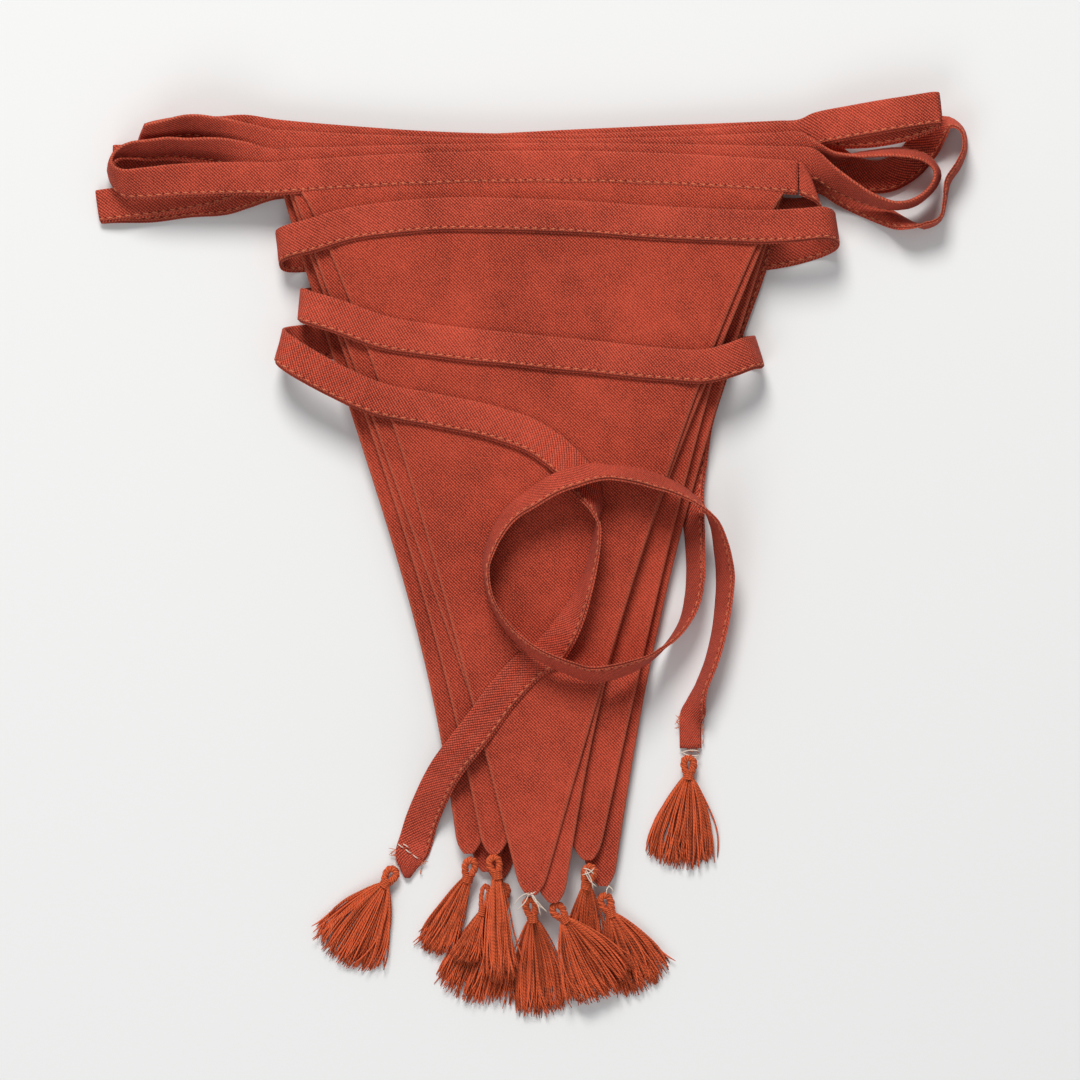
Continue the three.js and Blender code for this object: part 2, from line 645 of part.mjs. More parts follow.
const bunting = new THREE.Group();
bunting.add(named('heading_tape', tape(headingRoute()), TAPE));
bunting.add(named('tie_long', tape(LONG_TIE), TAPE));
bunting.add(named('tie_short', tape(SHORT_TIE), TAPE));
for (const flag of FLAGS) {
  bunting.add(named(flag[0], flagSolid(flag), CLOTH));
}
for (const row of TASSELS) {
  bunting.add(named(row[0], tasselSolid(row), YARN));
}

export default bunting;
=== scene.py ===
"""A folded fabric bunting: cloth flags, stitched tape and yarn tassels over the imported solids."""

import math
import random

import bmesh
import bpy
import numpy as np
from mathutils import Matrix, Vector


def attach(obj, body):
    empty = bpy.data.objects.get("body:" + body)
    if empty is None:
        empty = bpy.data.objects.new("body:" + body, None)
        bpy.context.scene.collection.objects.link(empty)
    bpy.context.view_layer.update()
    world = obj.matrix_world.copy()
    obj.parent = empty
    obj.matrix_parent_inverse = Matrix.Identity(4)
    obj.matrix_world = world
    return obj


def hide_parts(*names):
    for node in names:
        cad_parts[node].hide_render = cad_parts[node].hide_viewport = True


bl_info = {
    "name": "Folded Fabric Bunting",
    "version": (1, 0, 0),
    "blender": (4, 5, 0),
    "location": "View3D > Sidebar > Bunting",
    "description": "Builds a folded bunting of cotton flags on a stitched tape, with yarn tassels",
    "category": "Add Mesh",
}

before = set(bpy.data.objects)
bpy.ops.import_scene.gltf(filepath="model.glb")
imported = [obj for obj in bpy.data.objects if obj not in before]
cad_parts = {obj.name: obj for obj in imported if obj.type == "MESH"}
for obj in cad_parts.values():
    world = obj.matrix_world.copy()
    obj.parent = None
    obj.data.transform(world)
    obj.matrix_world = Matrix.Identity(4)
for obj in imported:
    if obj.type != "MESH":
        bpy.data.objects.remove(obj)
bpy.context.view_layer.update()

# Sizes are in millimetres, as a maker gives them, and become metres where a mesh is made.

MM = 0.001
TAPE_WIDTH = 10.5
TAPE_THICK = 1.2
FLAG_THICK = 1.2
LAYER_GAP = 0.4
LAYER = FLAG_THICK + LAYER_GAP
LAYERS = 8
STACK_THICK = LAYERS * LAYER - LAYER_GAP
LIFT_MIDDLE = 2.5
LIFT_SLOPE = 0.8 / 75
LIFT_FULL_Y = 50
LIFT_NONE_Y = -20
HEADING_LEFT = -73.6
HEADING_MIDDLE = 3.2
HEADING_RIGHT = 74.5
PASS_X = [-82.5, -76, -35, 5, 43, 79, 85.5]

# The flags from the top of the stack down: name, layer from the floor, the tape's middle line at
# left, middle and right, the corners' x, the tip's x and y, and each side's hollow and where it is.

FLAGS = [
    ("flag_1", 8, 121.6, 124.5, 121.9, -73.6, 81.6, 0.5, -107, 6.2, 6.2, 0.7),
    ("flag_2", 7, 125.6, 127.0, 126.1, -77.6, 83.0, 7.5, -109.5, 0, 9.6, 1.2),
    ("flag_3", 6, 131.0, 128.6, 130.2, -80.5, 74.5, -11.5, -94, 5, 5, 1.4),
    ("flag_4", 5, 134.2, 130.2, 133.3, -75.0, 84.0, 18.5, -96, 6.2, 5.4, 0.7),
    ("flag_5", 4, 127.5, 131.2, 134.3, -81.0, 77.0, -19.8, -94, 5.8, 5, 1.6),
    ("flag_6", 3, 121.5, 130.2, 131.8, -73.6, 84.0, 23.5, -104.5, 6.2, 6.2, 1.2),
    ("flag_7", 2, 126.8, 129.3, 124.6, -79.0, 77.0, -14.0, -100, 6.2, 6.2, 0.9),
    ("flag_8", 1, 126.0, 128.3, 128.6, -80.0, 75.0, -10.2, -102.5, 6.2, 6.2, 0.9),
]

# Sections across the tape: the middle's place, whether its height counts from the floor (0) or from
# the top flag (1), and the compass angle and the lean of the way to its folded edge. Two more give
# the width and thickness of a sewn end. Each loop joins two layers' ends.

LOOP_8_7 = [
    (-91.0, 121.0, 0, 13.5, 90, 4),
    (-112.0, 120.5, 0, 13.2, 90, 12),
    (-124.0, 119.5, 0, 12.6, 90, 25),
    (-130.0, 119.5, 0, 11.6, 92, 34),
    (-133.5, 122.0, 0, 10.0, 86, 50),
    (-134.5, 126.0, 0, 9.2, 60, 68),
    (-132.5, 129.2, 0, 9.0, 50, 74),
    (-128.0, 130.4, 0, 9.0, 80, 66),
    (-121.5, 130.6, 0, 9.0, 90, 58),
    (-116.0, 131.2, 0, 9.4, 90, 58),
    (-109.0, 130.8, 0, 9.8, 90, 58),
    (-100.0, 130.2, 0, 10.4, 90, 46),
    (-91.0, 127.8, 0, 11.5, 90, 20),
]

LOOP_7_6 = [
    (91.0, 125.3, 0, 12.9, 90, 22),
    (97.0, 121.0, 0, 10.8, 84, 46),
    (108.0, 115.0, 0, 9.6, 75, 72),
    (116.0, 112.5, 0, 9.2, 70, 80),
    (123.0, 113.5, 0, 9.2, 120, 80),
    (129.0, 118.5, 0, 9.2, 180, 78),
    (130.5, 123.0, 0, 9.2, 190, 76),
    (127.0, 127.5, 0, 9.2, 250, 74),
    (118.5, 129.6, 0, 9.2, 265, 72),
    (105.5, 128.8, 0, 9.2, 268, 80),
    (97.0, 128.0, 0, 9.7, 90, 76),
    (91.0, 128.6, 0, 12.0, 90, 34),
]

LOOP_6_5 = [
    (-91.0, 134.0, 0, 11.4, 90, 24),
    (-100.0, 136.6, 0, 12.2, 90, 44),
    (-109.0, 138.0, 0, 12.6, 90, 55),
    (-118.5, 136.2, 0, 11.8, 78, 56),
    (-124.6, 135.4, 0, 10.2, 58, 52),
    (-118.5, 136.8, 0, 8.2, 78, 56),
    (-109.0, 137.2, 0, 7.6, 90, 45),
    (-100.0, 136.4, 0, 7.2, 90, 28),
    (-91.0, 136.4, 0, 8.6, 90, 8),
]

LOOP_5_4 = [
    (91.0, 136.8, 0, 11.2, 97, 0),
    (102.5, 139.0, 0, 12.8, 99, 0),
    (120.0, 142.0, 0, 13.4, 99, 0),
    (131.0, 143.5, 0, 11.8, 96, 0),
    (122.0, 139.2, 0, 10.0, 110, 0),
    (112.0, 137.0, 0, 9.8, 102, 0),
    (102.5, 136.1, 0, 9.7, 98, 0),
    (91.0, 136.3, 0, 9.3, 97, 0),
]

LOOP_4_3 = [
    (-91.0, 122.4, 0, 6.3, 98, 0),
    (-101.0, 118.4, 0, 5.1, 98, 0),
    (-111.0, 116.3, 0, 4.7, 97, 0),
    (-122.0, 114.6, 0, 4.2, 98, 0),
    (-134.5, 113.2, 0, 3.4, 98, 0),
    (-139.0, 112.6, 0, 2.0, 98, 0),
    (-134.0, 112.8, 0, 0.7, 98, 0),
    (-121.5, 113.2, 0, 0.7, 92, 4),
    (-109.0, 114.4, 0, 1.7, 90, 10),
    (-98.0, 115.4, 0, 2.6, 96, 8),
    (-90.0, 117.6, 0, 4.7, 98, 3),
]

LOOP_3_2 = [
    (91.0, 131.6, 0, 6.8, 76, -3),
    (97.5, 127.2, 0, 3.7, 66, 0),
    (105.0, 123.2, 0, 2.5, 82, 0),
    (114.0, 122.5, 0, 2.2, 104, 0),
    (121.5, 126.5, 0, 2.2, 128, 0),
    (126.5, 132.5, 0, 2.4, 138, -4),
    (130.5, 137.5, 0, 4.4, 130, -38),
    (134.5, 139.5, 0, 5.6, 90, -70),
    (138.5, 137.0, 0, 5.6, 40, -80),
    (139.5, 131.5, 0, 5.6, 0, -82),
    (137.5, 126.0, 0, 5.6, -30, -80),
    (134.0, 120.5, 0, 5.6, -20, -80),
    (133.0, 114.0, 0, 5.6, 0, -84),
    (131.5, 108.5, 0, 5.6, -45, -86),
    (126.5, 106.3, 0, 5.5, -80, -84),
    (119.5, 107.6, 0, 4.6, 105, -62),
    (112.0, 111.0, 0, 1.9, 112, -16),
    (104.0, 114.6, 0, 0.7, 114, -2),
    (97.5, 118.0, 0, 1.7, 112, -4),
    (92.0, 121.8, 0, 4.2, 104, -4),
]

LOOP_2_1 = [
    (-91.0, 127.2, 0, 3.0, 90, 0),
    (-101.0, 127.2, 0, 2.3, 90, 0),
    (-121.5, 127.2, 0, 2.2, 90, 0),
    (-131.0, 127.2, 0, 2.2, 90, 0),
    (-134.0, 127.2, 0, 1.4, 90, 0),
    (-131.0, 127.0, 0, 0.6, 90, 0),
    (-121.5, 127.0, 0, 0.6, 90, 0),
    (-101.0, 126.5, 0, 0.6, 90, 0),
    (-91.0, 126.0, 0, 1.3, 90, 0),
]

LOOPS = [LOOP_8_7, LOOP_7_6, LOOP_6_5, LOOP_5_4, LOOP_4_3, LOOP_3_2, LOOP_2_1]

# Three turns round the stack, then on edge through the ring and down to the floor

LONG_TIE = [
    (85.9, 121.1, 0, 15.2, 90, 0),
    (90.0, 118.2, 0, 14.8, 108, 0),
    (91.4, 115.0, 0, 13.2, 112, 0),
    (91.8, 112.6, 0, 10.6, 108, 0),
    (90.4, 111.0, 0, 7.0, 100, 0),
    (87.2, 110.2, 0, 3.0, 94, 0),
    (82.0, 110.2, 0, 0.7, 90, 0),
    (67.0, 110.2, 0, 0.6, 90, 0),
    (22.5, 106.5, 0, 0.6, 90, 0),
    (-25.5, 101.5, 0, 0.6, 90, 0),
    (-64.0, 98.0, 0, 0.6, 90, 0),
    (-76.0, 97.0, 0, 0.8, 90, 0),
    (-79.5, 97.5, 0, 4.5, 92, 0),
    (-80.5, 99.0, 0, 8.0, 96, 0),
    (-79.5, 100.0, 0, 11.5, 100, 0),
    (-76.5, 101.0, 0, 14.0, 102, 0),
    (-70.5, 102.5, 1, 1.2, 102, 0),
    (-59.0, 106.0, 1, 1.2, 102, 0),
    (-41.0, 108.5, 1, 1.2, 96, 0),
    (-24.5, 109.5, 1, 1.2, 91, 0),
    (3.0, 109.0, 1, 1.2, 90, 0),
    (44.0, 106.5, 1, 1.2, 88, 0),
    (74.5, 105.5, 1, 1.2, 90, 0),
    (86.5, 106.0, 1, 1.2, 92, 0),
    (94.5, 106.6, 1, 0.2, 96, 0),
    (97.4, 105.6, 0, 12.6, 98, 0),
    (97.8, 104.8, 0, 8.0, 100, 0),
    (96.4, 103.4, 0, 3.6, 102, 0),
    (92.0, 101.4, 0, 0.8, 102, 0),
    (80.0, 98.4, 0, 0.6, 94, 0),
    (38.5, 94.5, 0, 0.6, 94, 0),
    (-16.0, 87.5, 0, 0.6, 96, 0),
    (-61.0, 82.0, 0, 0.6, 96, 0),
    (-70.0, 81.5, 0, 0.8, 94, 0),
    (-73.0, 81.0, 0, 4.5, 90, 0),
    (-73.5, 81.0, 0, 8.2, 84, 0),
    (-72.5, 80.5, 0, 11.6, 78, 0),
    (-70.0, 79.5, 0, 14.0, 72, 0),
    (-62.0, 77.0, 1, 1.5, 70, 0),
    (-46.0, 71.5, 1, 1.5, 76, 0),
    (-26.5, 68.5, 1, 1.5, 82, 0),
    (-3.0, 66.0, 1, 1.5, 84, 0),
    (22.5, 63.5, 1, 1.7, 83, 0),
    (43.0, 61.5, 1, 1.8, 88, 0),
    (55.5, 61.0, 1, 1.8, 96, 0),
    (64.0, 63.0, 0, 15.8, 106, 0),
    (69.5, 65.0, 0, 14.2, 112, 0),
    (72.2, 65.5, 0, 10.6, 112, 0),
    (73.2, 66.0, 0, 6.0, 108, 0),
    (72.8, 66.0, 0, 2.6, 104, 0),
    (70.8, 65.8, 0, 0.8, 100, 0),
    (66.0, 65.5, 0, 0.6, 96, 0),
    (51.0, 65.0, 0, 0.6, 92, 0),
    (9.5, 65.5, 0, 0.6, 90, 0),
    (-41.5, 67.5, 0, 0.6, 90, 0),
    (-70.0, 69.5, 0, 0.8, 92, 0),
    (-77.0, 69.0, 0, 2.4, 84, 0),
    (-79.5, 68.5, 0, 5.4, 80, 0),
    (-80.0, 68.0, 0, 8.4, 75, 0),
    (-79.5, 67.0, 0, 11.6, 68, 0),
    (-77.0, 65.0, 0, 14.2, 62, 0),
    (-71.5, 61.5, 1, 1.5, 60, 0),
    (-62.5, 56.5, 1, 1.5, 66, 0),
    (-48.5, 50.5, 1, 1.5, 74, 0),
    (-28.5, 46.5, 1, 1.5, 80, 0),
    (-12.0, 43.0, 1, 1.5, 77, 0),
    (0.0, 39.0, 1, 1.5, 68, 0),
    (7.5, 34.0, 1, 1.5, 52, 0),
    (13.0, 29.0, 1, 1.9, 46, -5),
    (16.5, 24.5, 1, 3.2, 35, -18),
    (19.0, 20.5, 1, 4.8, 22, -42),
    (21.0, 15.5, 1, 5.8, 10, -70),
    (21.5, 10.0, 1, 6.0, 180, -82),
    (21.0, 4.0, 1, 6.0, 176, -78),
    (19.5, -3.5, 1, 5.9, 170, -74),
    (17.0, -11.0, 1, 5.6, 160, -64),
    (13.5, -19.0, 1, 4.8, 152, -46),
    (9.0, -26.5, 1, 3.2, 145, -22),
    (5.0, -31.5, 1, 1.6, 141, -6),
    (0.5, -34.0, 1, 1.2, 140, 0),
    (-8.5, -43.5, 1, 1.2, 141, 0),
    (-15.5, -53.0, 1, 1.1, 142, 0),
    (-21.0, -60.0, 0, 13.8, 146, -6),
    (-25.8, -66.0, 0, 11.8, 148, -12),
    (-29.2, -71.5, 0, 9.0, 150, -16),
    (-32.2, -78.0, 0, 5.6, 156, -12),
    (-35.0, -85.0, 0, 2.3, 160, -6),
    (-36.8, -91.0, 0, 0.8, 163, 0),
    (-38.0, -94.5, 0, 1.1, 168, 0, 10.5, 2.2),
    (-38.7, -97.0, 0, 1.1, 174, 0, 9.4, 2.2),
    (-39.2, -100.0, 0, 1.1, 178, 0, 5.6, 2.0),
    (-39.4, -103.4, 0, 0.9, 180, 0, 1.6, 1.6),
]

# From under the heading down the right-hand edge, round in a ring and down to the floor

SHORT_TIE = [
    (77.0, 127.5, 0, 2.25, 185, 0),
    (76.0, 117.5, 0, 2.25, 188, 0),
    (72.6, 98.0, 0, 2.25, 190, 0),
    (65.4, 76.0, 0, 2.25, 194, 0),
    (57.6, 55.0, 0, 2.25, 194, 0),
    (52.8, 39.0, 0, 2.25, 190, -2),
    (51.2, 28.5, 0, 2.4, 184, -8),
    (50.6, 20.0, 0, 2.5, 180, -20),
    (52.2, 12.0, 0, 4.9, 180, -54),
    (52.9, 2.0, 0, 5.2, 180, -59),
    (53.0, -6.0, 0, 5.3, 175, -60),
    (52.0, -14.0, 0, 5.4, 165, -64),
    (49.5, -21.0, 0, 5.8, 150, -76),
    (46.0, -26.0, 0, 7.2, 140, -84),
    (41.5, -30.0, 0, 10.4, 280, -84),
    (38.0, -32.5, 0, 13.2, 280, -80),
    (32.5, -35.0, 0, 16.0, 275, -70),
    (25.5, -37.0, 0, 18.0, 270, -64),
    (19.0, -37.5, 1, 5.8, 268, -64),
    (13.0, -35.5, 1, 7.6, 250, -68),
    (8.0, -33.5, 1, 8.6, 240, -70),
    (0.5, -29.5, 1, 8.2, 235, -74),
    (-7.0, -22.5, 1, 6.2, 225, -80),
    (-12.5, -13.0, 1, 5.9, 200, -84),
    (-14.0, -3.5, 1, 5.8, 180, -82),
    (-13.0, 1.5, 1, 5.8, 165, -76),
    (-10.5, 7.5, 1, 5.7, 150, -70),
    (-6.0, 14.0, 1, 5.5, 135, -64),
    (1.0, 19.0, 1, 6.9, 125, -58),
    (8.5, 23.5, 1, 8.2, 115, -54),
    (14.0, 25.5, 1, 8.9, 108, -54),
    (20.0, 27.0, 1, 8.6, 100, -58),
    (25.5, 27.0, 1, 7.6, 90, -66),
    (33.5, 26.0, 1, 6.8, 78, -64),
    (40.5, 24.0, 1, 6.4, 65, -64),
    (48.0, 21.0, 0, 19.0, 45, -72),
    (54.0, 17.0, 0, 17.0, 10, -82),
    (58.6, 11.5, 0, 14.8, 190, -78),
    (61.2, 3.0, 0, 10.6, 188, -66),
    (62.5, -6.0, 0, 7.2, 182, -60),
    (62.0, -14.5, 0, 5.7, 178, -63),
    (60.5, -24.5, 0, 5.4, 172, -68),
    (58.0, -34.0, 0, 5.4, 166, -71),
    (54.8, -42.0, 0, 5.3, 162, -72),
    (53.0, -47.0, 0, 4.6, 172, -58),
    (52.0, -51.0, 0, 2.7, 178, -24, 8.5, 1.8),
    (51.5, -53.8, 0, 1.5, 179, 0, 6.8, 2.6),
    (51.5, -62.0, 0, 1.5, 180, 0, 6.8, 2.6),
]

# The tassels: name, neck, head, aim, spread, length, lying height, strands in a row, head girth

TASSELS = [
    ("tassel_flag_1", 0.8, -115.5, 8.4, 0.2, -111.5, 9.6, 275, 33, 31.7, 0, 12, 1),
    ("tassel_flag_2", 11.0, -115.9, 7.6, 9.0, -113.3, 8.2, 299, 44, 28.5, 3.4, 12, 1),
    ("tassel_flag_3", -10.6, -101.8, 8.4, -11.4, -98.2, 8.7, 271.0, 10, 34, 5.0, 9, 1),
    ("tassel_flag_4", 18.2, -105.0, 6.4, 19.0, -101.2, 7.6, 267, 24, 25, 0, 8, 1),
    ("tassel_flag_5", -20.0, -103.0, 4.8, -19.2, -99.2, 5.8, 243, 18, 27, 0, 9, 1),
    ("tassel_flag_6", 25.8, -114.4, 2.8, 24.3, -110.7, 3.2, 292, 44, 27, 0, 12, 1),
    ("tassel_flag_7", -15.4, -114.0, 4.8, -14.4, -107.6, 3.7, 248, 22, 17, 3.2, 8, 0.66),
    ("tassel_flag_8", -9.9, -111.0, 2.6, -8.9, -107.6, 2.8, 251.5, 40, 33, 0, 12, 1),
    ("tassel_tie_long", -46.5, -105.0, 2.8, -44.8, -102.2, 2.8, 240, 50, 29, 0, 12, 1),
    ("tassel_tie_short", 51.0, -70.2, 2.8, 51.0, -66.6, 2.8, 263, 44, 29.5, 0, 12, 1),
]


# The tape's route

# Points of the smooth curve from one section of a route to the next
FINE_STEPS = 16


def lift_at(x, y):
    """Height of the underside of the stack, whose upper half lies on the turns of the tape"""
    share = np.clip((y - LIFT_NONE_Y) / (LIFT_FULL_Y - LIFT_NONE_Y), 0, 1)
    return (LIFT_MIDDLE + LIFT_SLOPE * x) * share * share * (3 - 2 * share)


def layer_floor(layer, x, y):
    """Height of the underside of one layer, counted from 1 at the bottom"""
    return lift_at(x, y) + (layer - 1) * LAYER


def heading_y(flag, x):
    """Middle line of the tape along one flag, a curve through its three heights"""
    places = (HEADING_LEFT, HEADING_MIDDLE, HEADING_RIGHT)
    total = 0
    for own, height in zip(places, flag[2:5]):
        share = 1.0
        for other in places:
            if other != own:
                share = share * (x - other) / (own - other)
        total = total + height * share
    return total


def heading_route():
    """The tape's sections from the top flag's right end to the bottom flag's, loops included"""
    route = []
    for i, flag in enumerate(FLAGS):
        rows = []
        for x in PASS_X:
            y = heading_y(flag, x)
            rows.append((x, y, 0, layer_floor(flag[1], x, y) + TAPE_THICK / 2, 90, 0))
        route += rows[::-1] if i % 2 == 0 else rows
        if i < len(LOOPS):
            route += LOOPS[i]
    return route


def fine_course(points, across, sizes):
    """Points of a curve through the given ones, which bends evenly however far apart they are"""
    points = np.vstack([2 * points[0] - points[1], points, 2 * points[-1] - points[-2]])
    fine, fine_across, fine_size = [], [], []
    for i in range(1, len(points) - 2):
        a, b, c, d = points[i - 1 : i + 3]
        u, v, w = (np.linalg.norm(step) ** 0.5 for step in (b - a, c - b, d - c))
        start = v * ((b - a) / u - (c - a) / (u + v) + (c - b) / v)
        end = v * ((c - b) / v - (d - b) / (v + w) + (d - c) / w)
        for t in np.arange(0, 1, 1 / FINE_STEPS):
            curve = b + start * t + (3 * (c - b) - 2 * start - end) * t * t
            fine.append(curve + (2 * (b - c) + start + end) * t**3)
            fine_across.append(across[i - 1] * (1 - t) + across[i] * t)
            fine_size.append(sizes[i - 1] * (1 - t) + sizes[i] * t)
    return np.array(fine), np.array(fine_across), np.array(fine_size)


def unit_rows(vectors):
    return vectors / np.linalg.norm(vectors, axis=1)[:, None]


def smooth_route(route, pitch):
    """Evenly spaced middles, directions, widths and thicknesses along a route of the tape"""
    middles, across, sizes = [], [], []
    for x, y, on, z, turn, lean, *size in route:
        height = lift_at(x, y) + STACK_THICK + z if on else z
        turn, lean = math.radians(turn), math.radians(lean)
        level = math.cos(lean)
        middles.append((x, y, height))
        across.append((level * math.cos(turn), level * math.sin(turn), math.sin(lean)))
        sizes.append(size or (TAPE_WIDTH, TAPE_THICK))
    fine, *others = fine_course(*(np.array(rows, float) for rows in (middles, across, sizes)))
    run = np.append(0, np.cumsum(np.linalg.norm(np.diff(fine, axis=0), axis=1)))
    at = np.linspace(0, run[-1], int(run[-1] / pitch) + 1)
    middle, over, size = (
        np.stack([np.interp(at, run, column) for column in rows.T], 1) for rows in (fine, *others)
    )
    over = unit_rows(over)
    along = unit_rows(np.gradient(middle, axis=0))
    face = unit_rows(np.cross(along, over))
    return {"at": at, "middle": middle, "along": along, "across": over, "face": face, "size": size}


# Meshes

WELD_DISTANCE = 1e-7
UP = np.array([0.0, 0.0, 1.0])


def unit(vector):
    return vector / np.linalg.norm(vector)


def repeat(bm, verts, count):
    """Copies a shape until there are count of it; returns the vertices of each, all in one order"""
    shapes = [verts]
    while len(shapes) < count:
        some = shapes[: count - len(shapes)]
        faces = list(dict.fromkeys(f for shape in some for v in shape for f in v.link_faces))
        twins = bmesh.ops.duplicate(bm, geom=faces)["vert_map"]
        shapes += [[twins[v] for v in shape] for shape in some]
    return shapes


def own_layers(bm):
    """The layers for places in the weave and for how light a point is, from a worn rim with its
    painted highlight and from a thread's own tone
    """
    uv = bm.loops.layers.uv.get("UVMap") or bm.loops.layers.uv.new("UVMap")
    rim = bm.verts.layers.float.get("rim") or bm.verts.layers.float.new("rim")
    return uv, rim


def lay_tubes(bm, tubes, marks, rims=None, tones=None):
    """Lays a closed tube through each set of rings of points, which are in millimetres.
    marks are the (across, along) places of the weave, rims how near a worn edge with a painted
    highlight each point is, and tones how light each tube is."""
    tubes = np.asarray(tubes, float) * MM
    count, rows, columns = tubes.shape[:3]
    uv, rim = own_layers(bm)
    made = bmesh.ops.create_grid(bm, x_segments=columns, y_segments=rows - 1, size=1.0)["verts"]
    made.sort(key=lambda v: (round(v.co.y, 5), v.co.x))
    spots = [divmod(k, columns + 1) for k in range(len(made))]
    for vertex, (row, column) in zip(made, spots):
        vertex.co = tubes[0, row, column % columns]
        vertex[rim] = 0 if rims is None else rims[row][column % columns]
        for loop in vertex.link_loops:
            loop[uv].uv = marks[row][column] * MM
    bmesh.ops.remove_doubles(bm, verts=made, dist=WELD_DISTANCE)
    spots = [spot for vertex, spot in zip(made, spots) if vertex.is_valid]
    made = [vertex for vertex in made if vertex.is_valid]
    open_edges = list(dict.fromkeys(e for v in made for e in v.link_edges if e.is_boundary))
    bmesh.ops.holes_fill(bm, edges=open_edges, sides=0)
    for points, verts, tone in zip(tubes, repeat(bm, made, count), tones or [None] * count):
        for vertex, (row, column) in zip(verts, spots):
            vertex.co = points[row, column % columns]
            if tone is not None:
                vertex[rim] = tone


def lay_threads(bm, paths, radius, sides=4, end_share=0.4, tones=None):
    """A round thread along each path, its ends drawn in; the paths have equally many points"""
    tubes = []
    turns = np.arange(sides) * 2 * math.pi / sides
    for path in paths:
        path = np.asarray(path, float)
        along = unit_rows(np.gradient(path, axis=0))
        side = np.cross(UP, along[0])
        if np.linalg.norm(side) < 0.2:
            side = np.array([1.0, 0.0, 0.0])
        rings = []
        for k, (point, ahead) in enumerate(zip(path, along)):
            side = unit(side - ahead * side.dot(ahead))
            over = np.cross(ahead, side)
            size = radius * (end_share if k in (0, len(path) - 1) else 1)
            rings.append([point + size * (math.cos(a) * side + math.sin(a) * over) for a in turns])
        tubes.append(rings)
    steps = np.linalg.norm(np.diff(np.asarray(paths, float), axis=1), axis=2).mean(axis=0)
    run = np.append(0, np.cumsum(steps))
    around = [j / sides * 2 * math.pi * radius for j in range(sides + 1)]
    marks = [[np.array((place, at)) for place in around] for at in run]
    lay_tubes(bm, tubes, marks, tones=tones or [0.5] * len(paths))


def finish_piece(bm, name, finish, replaces=()):
    """Turns a bmesh into a finished piece of the object"""
    bmesh.ops.recalc_face_normals(bm, faces=bm.faces)
    mesh = bpy.data.meshes.new(name)
    bm.to_mesh(mesh)
    bm.free()
    mesh.shade_smooth()
    mesh.materials.append(finish)
    piece = bpy.data.objects.new(name, mesh)
    bpy.context.scene.collection.objects.link(piece)
    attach(piece, "root")
    if replaces:
        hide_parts(*replaces)
    return piece


# Finishes. The scales of unevenness are in spots for each metre, the shades are shares of a colour,
# and the depths are in metres.

DULL = 0.12
WOBBLE_SCALE = 1400.0
SLUB_SCALE = 2600.0
CLOUD_SCALE = 38.0
BLOTCH_SCALE = 170.0
CREASE_SCALE = 42.0
CREASE_DEPTH = 6.0
DIAGONAL = 0.7071
WEFT_PITCH_SHARE = 0.9
TWILL_SHADES = (0.30, 2.0)
TWILL_DEPTH = 0.00022
# How far the rims go towards the rim colour, for wear and a painted highlight on the rounded edges
RIM_LIGHTENING = 0.55
HOLE_SHADE = 0.22
HOLE_ACROSS = 0.36 * MM
HOLE_ALONG = 0.45 * MM
FUZZ_SCALE = 2600.0
PATCH_SCALE = 420.0
YARN_SHADE_SPREAD = 0.62
YARN_DEPTH = 0.00012
YARN_TWIST = 0.0011
THREAD_TWIST = 0.0006


class Value:
    """A number that varies over a surface, with the arithmetic that Python gives to numbers"""

    def __init__(self, finish, socket):
        self.finish, self.socket = finish, socket

    def _with(self, operation, *others):
        return self.finish.node("ShaderNodeMath", {"operation": operation}, *others)

    def __add__(self, other):
        return self._with("ADD", self, other)

    __radd__ = __add__

    def __mul__(self, other):
        return self._with("MULTIPLY", self, other)

    __rmul__ = __mul__

    def __sub__(self, other):
        return self._with("SUBTRACT", self, other)

    def __rsub__(self, other):
        return self._with("SUBTRACT", other, self)

    def __truediv__(self, other):
        return self._with("DIVIDE", self, other)

    def __rtruediv__(self, other):
        return self._with("DIVIDE", other, self)

    def wave(self):
        """From 0 to 1 and back over each turn of an angle"""
        return self._with("SINE", self) * 0.5 + 0.5

    def fraction(self):
        return self._with("FRACT", self)

    def within(self, low, high):
        """0 below low and 1 above high, with a soft step between"""
        settings = {"interpolation_type": "SMOOTHSTEP", "clamp": True}
        return self.finish.node("ShaderNodeMapRange", settings, self, low, high, 0.0, 1.0)


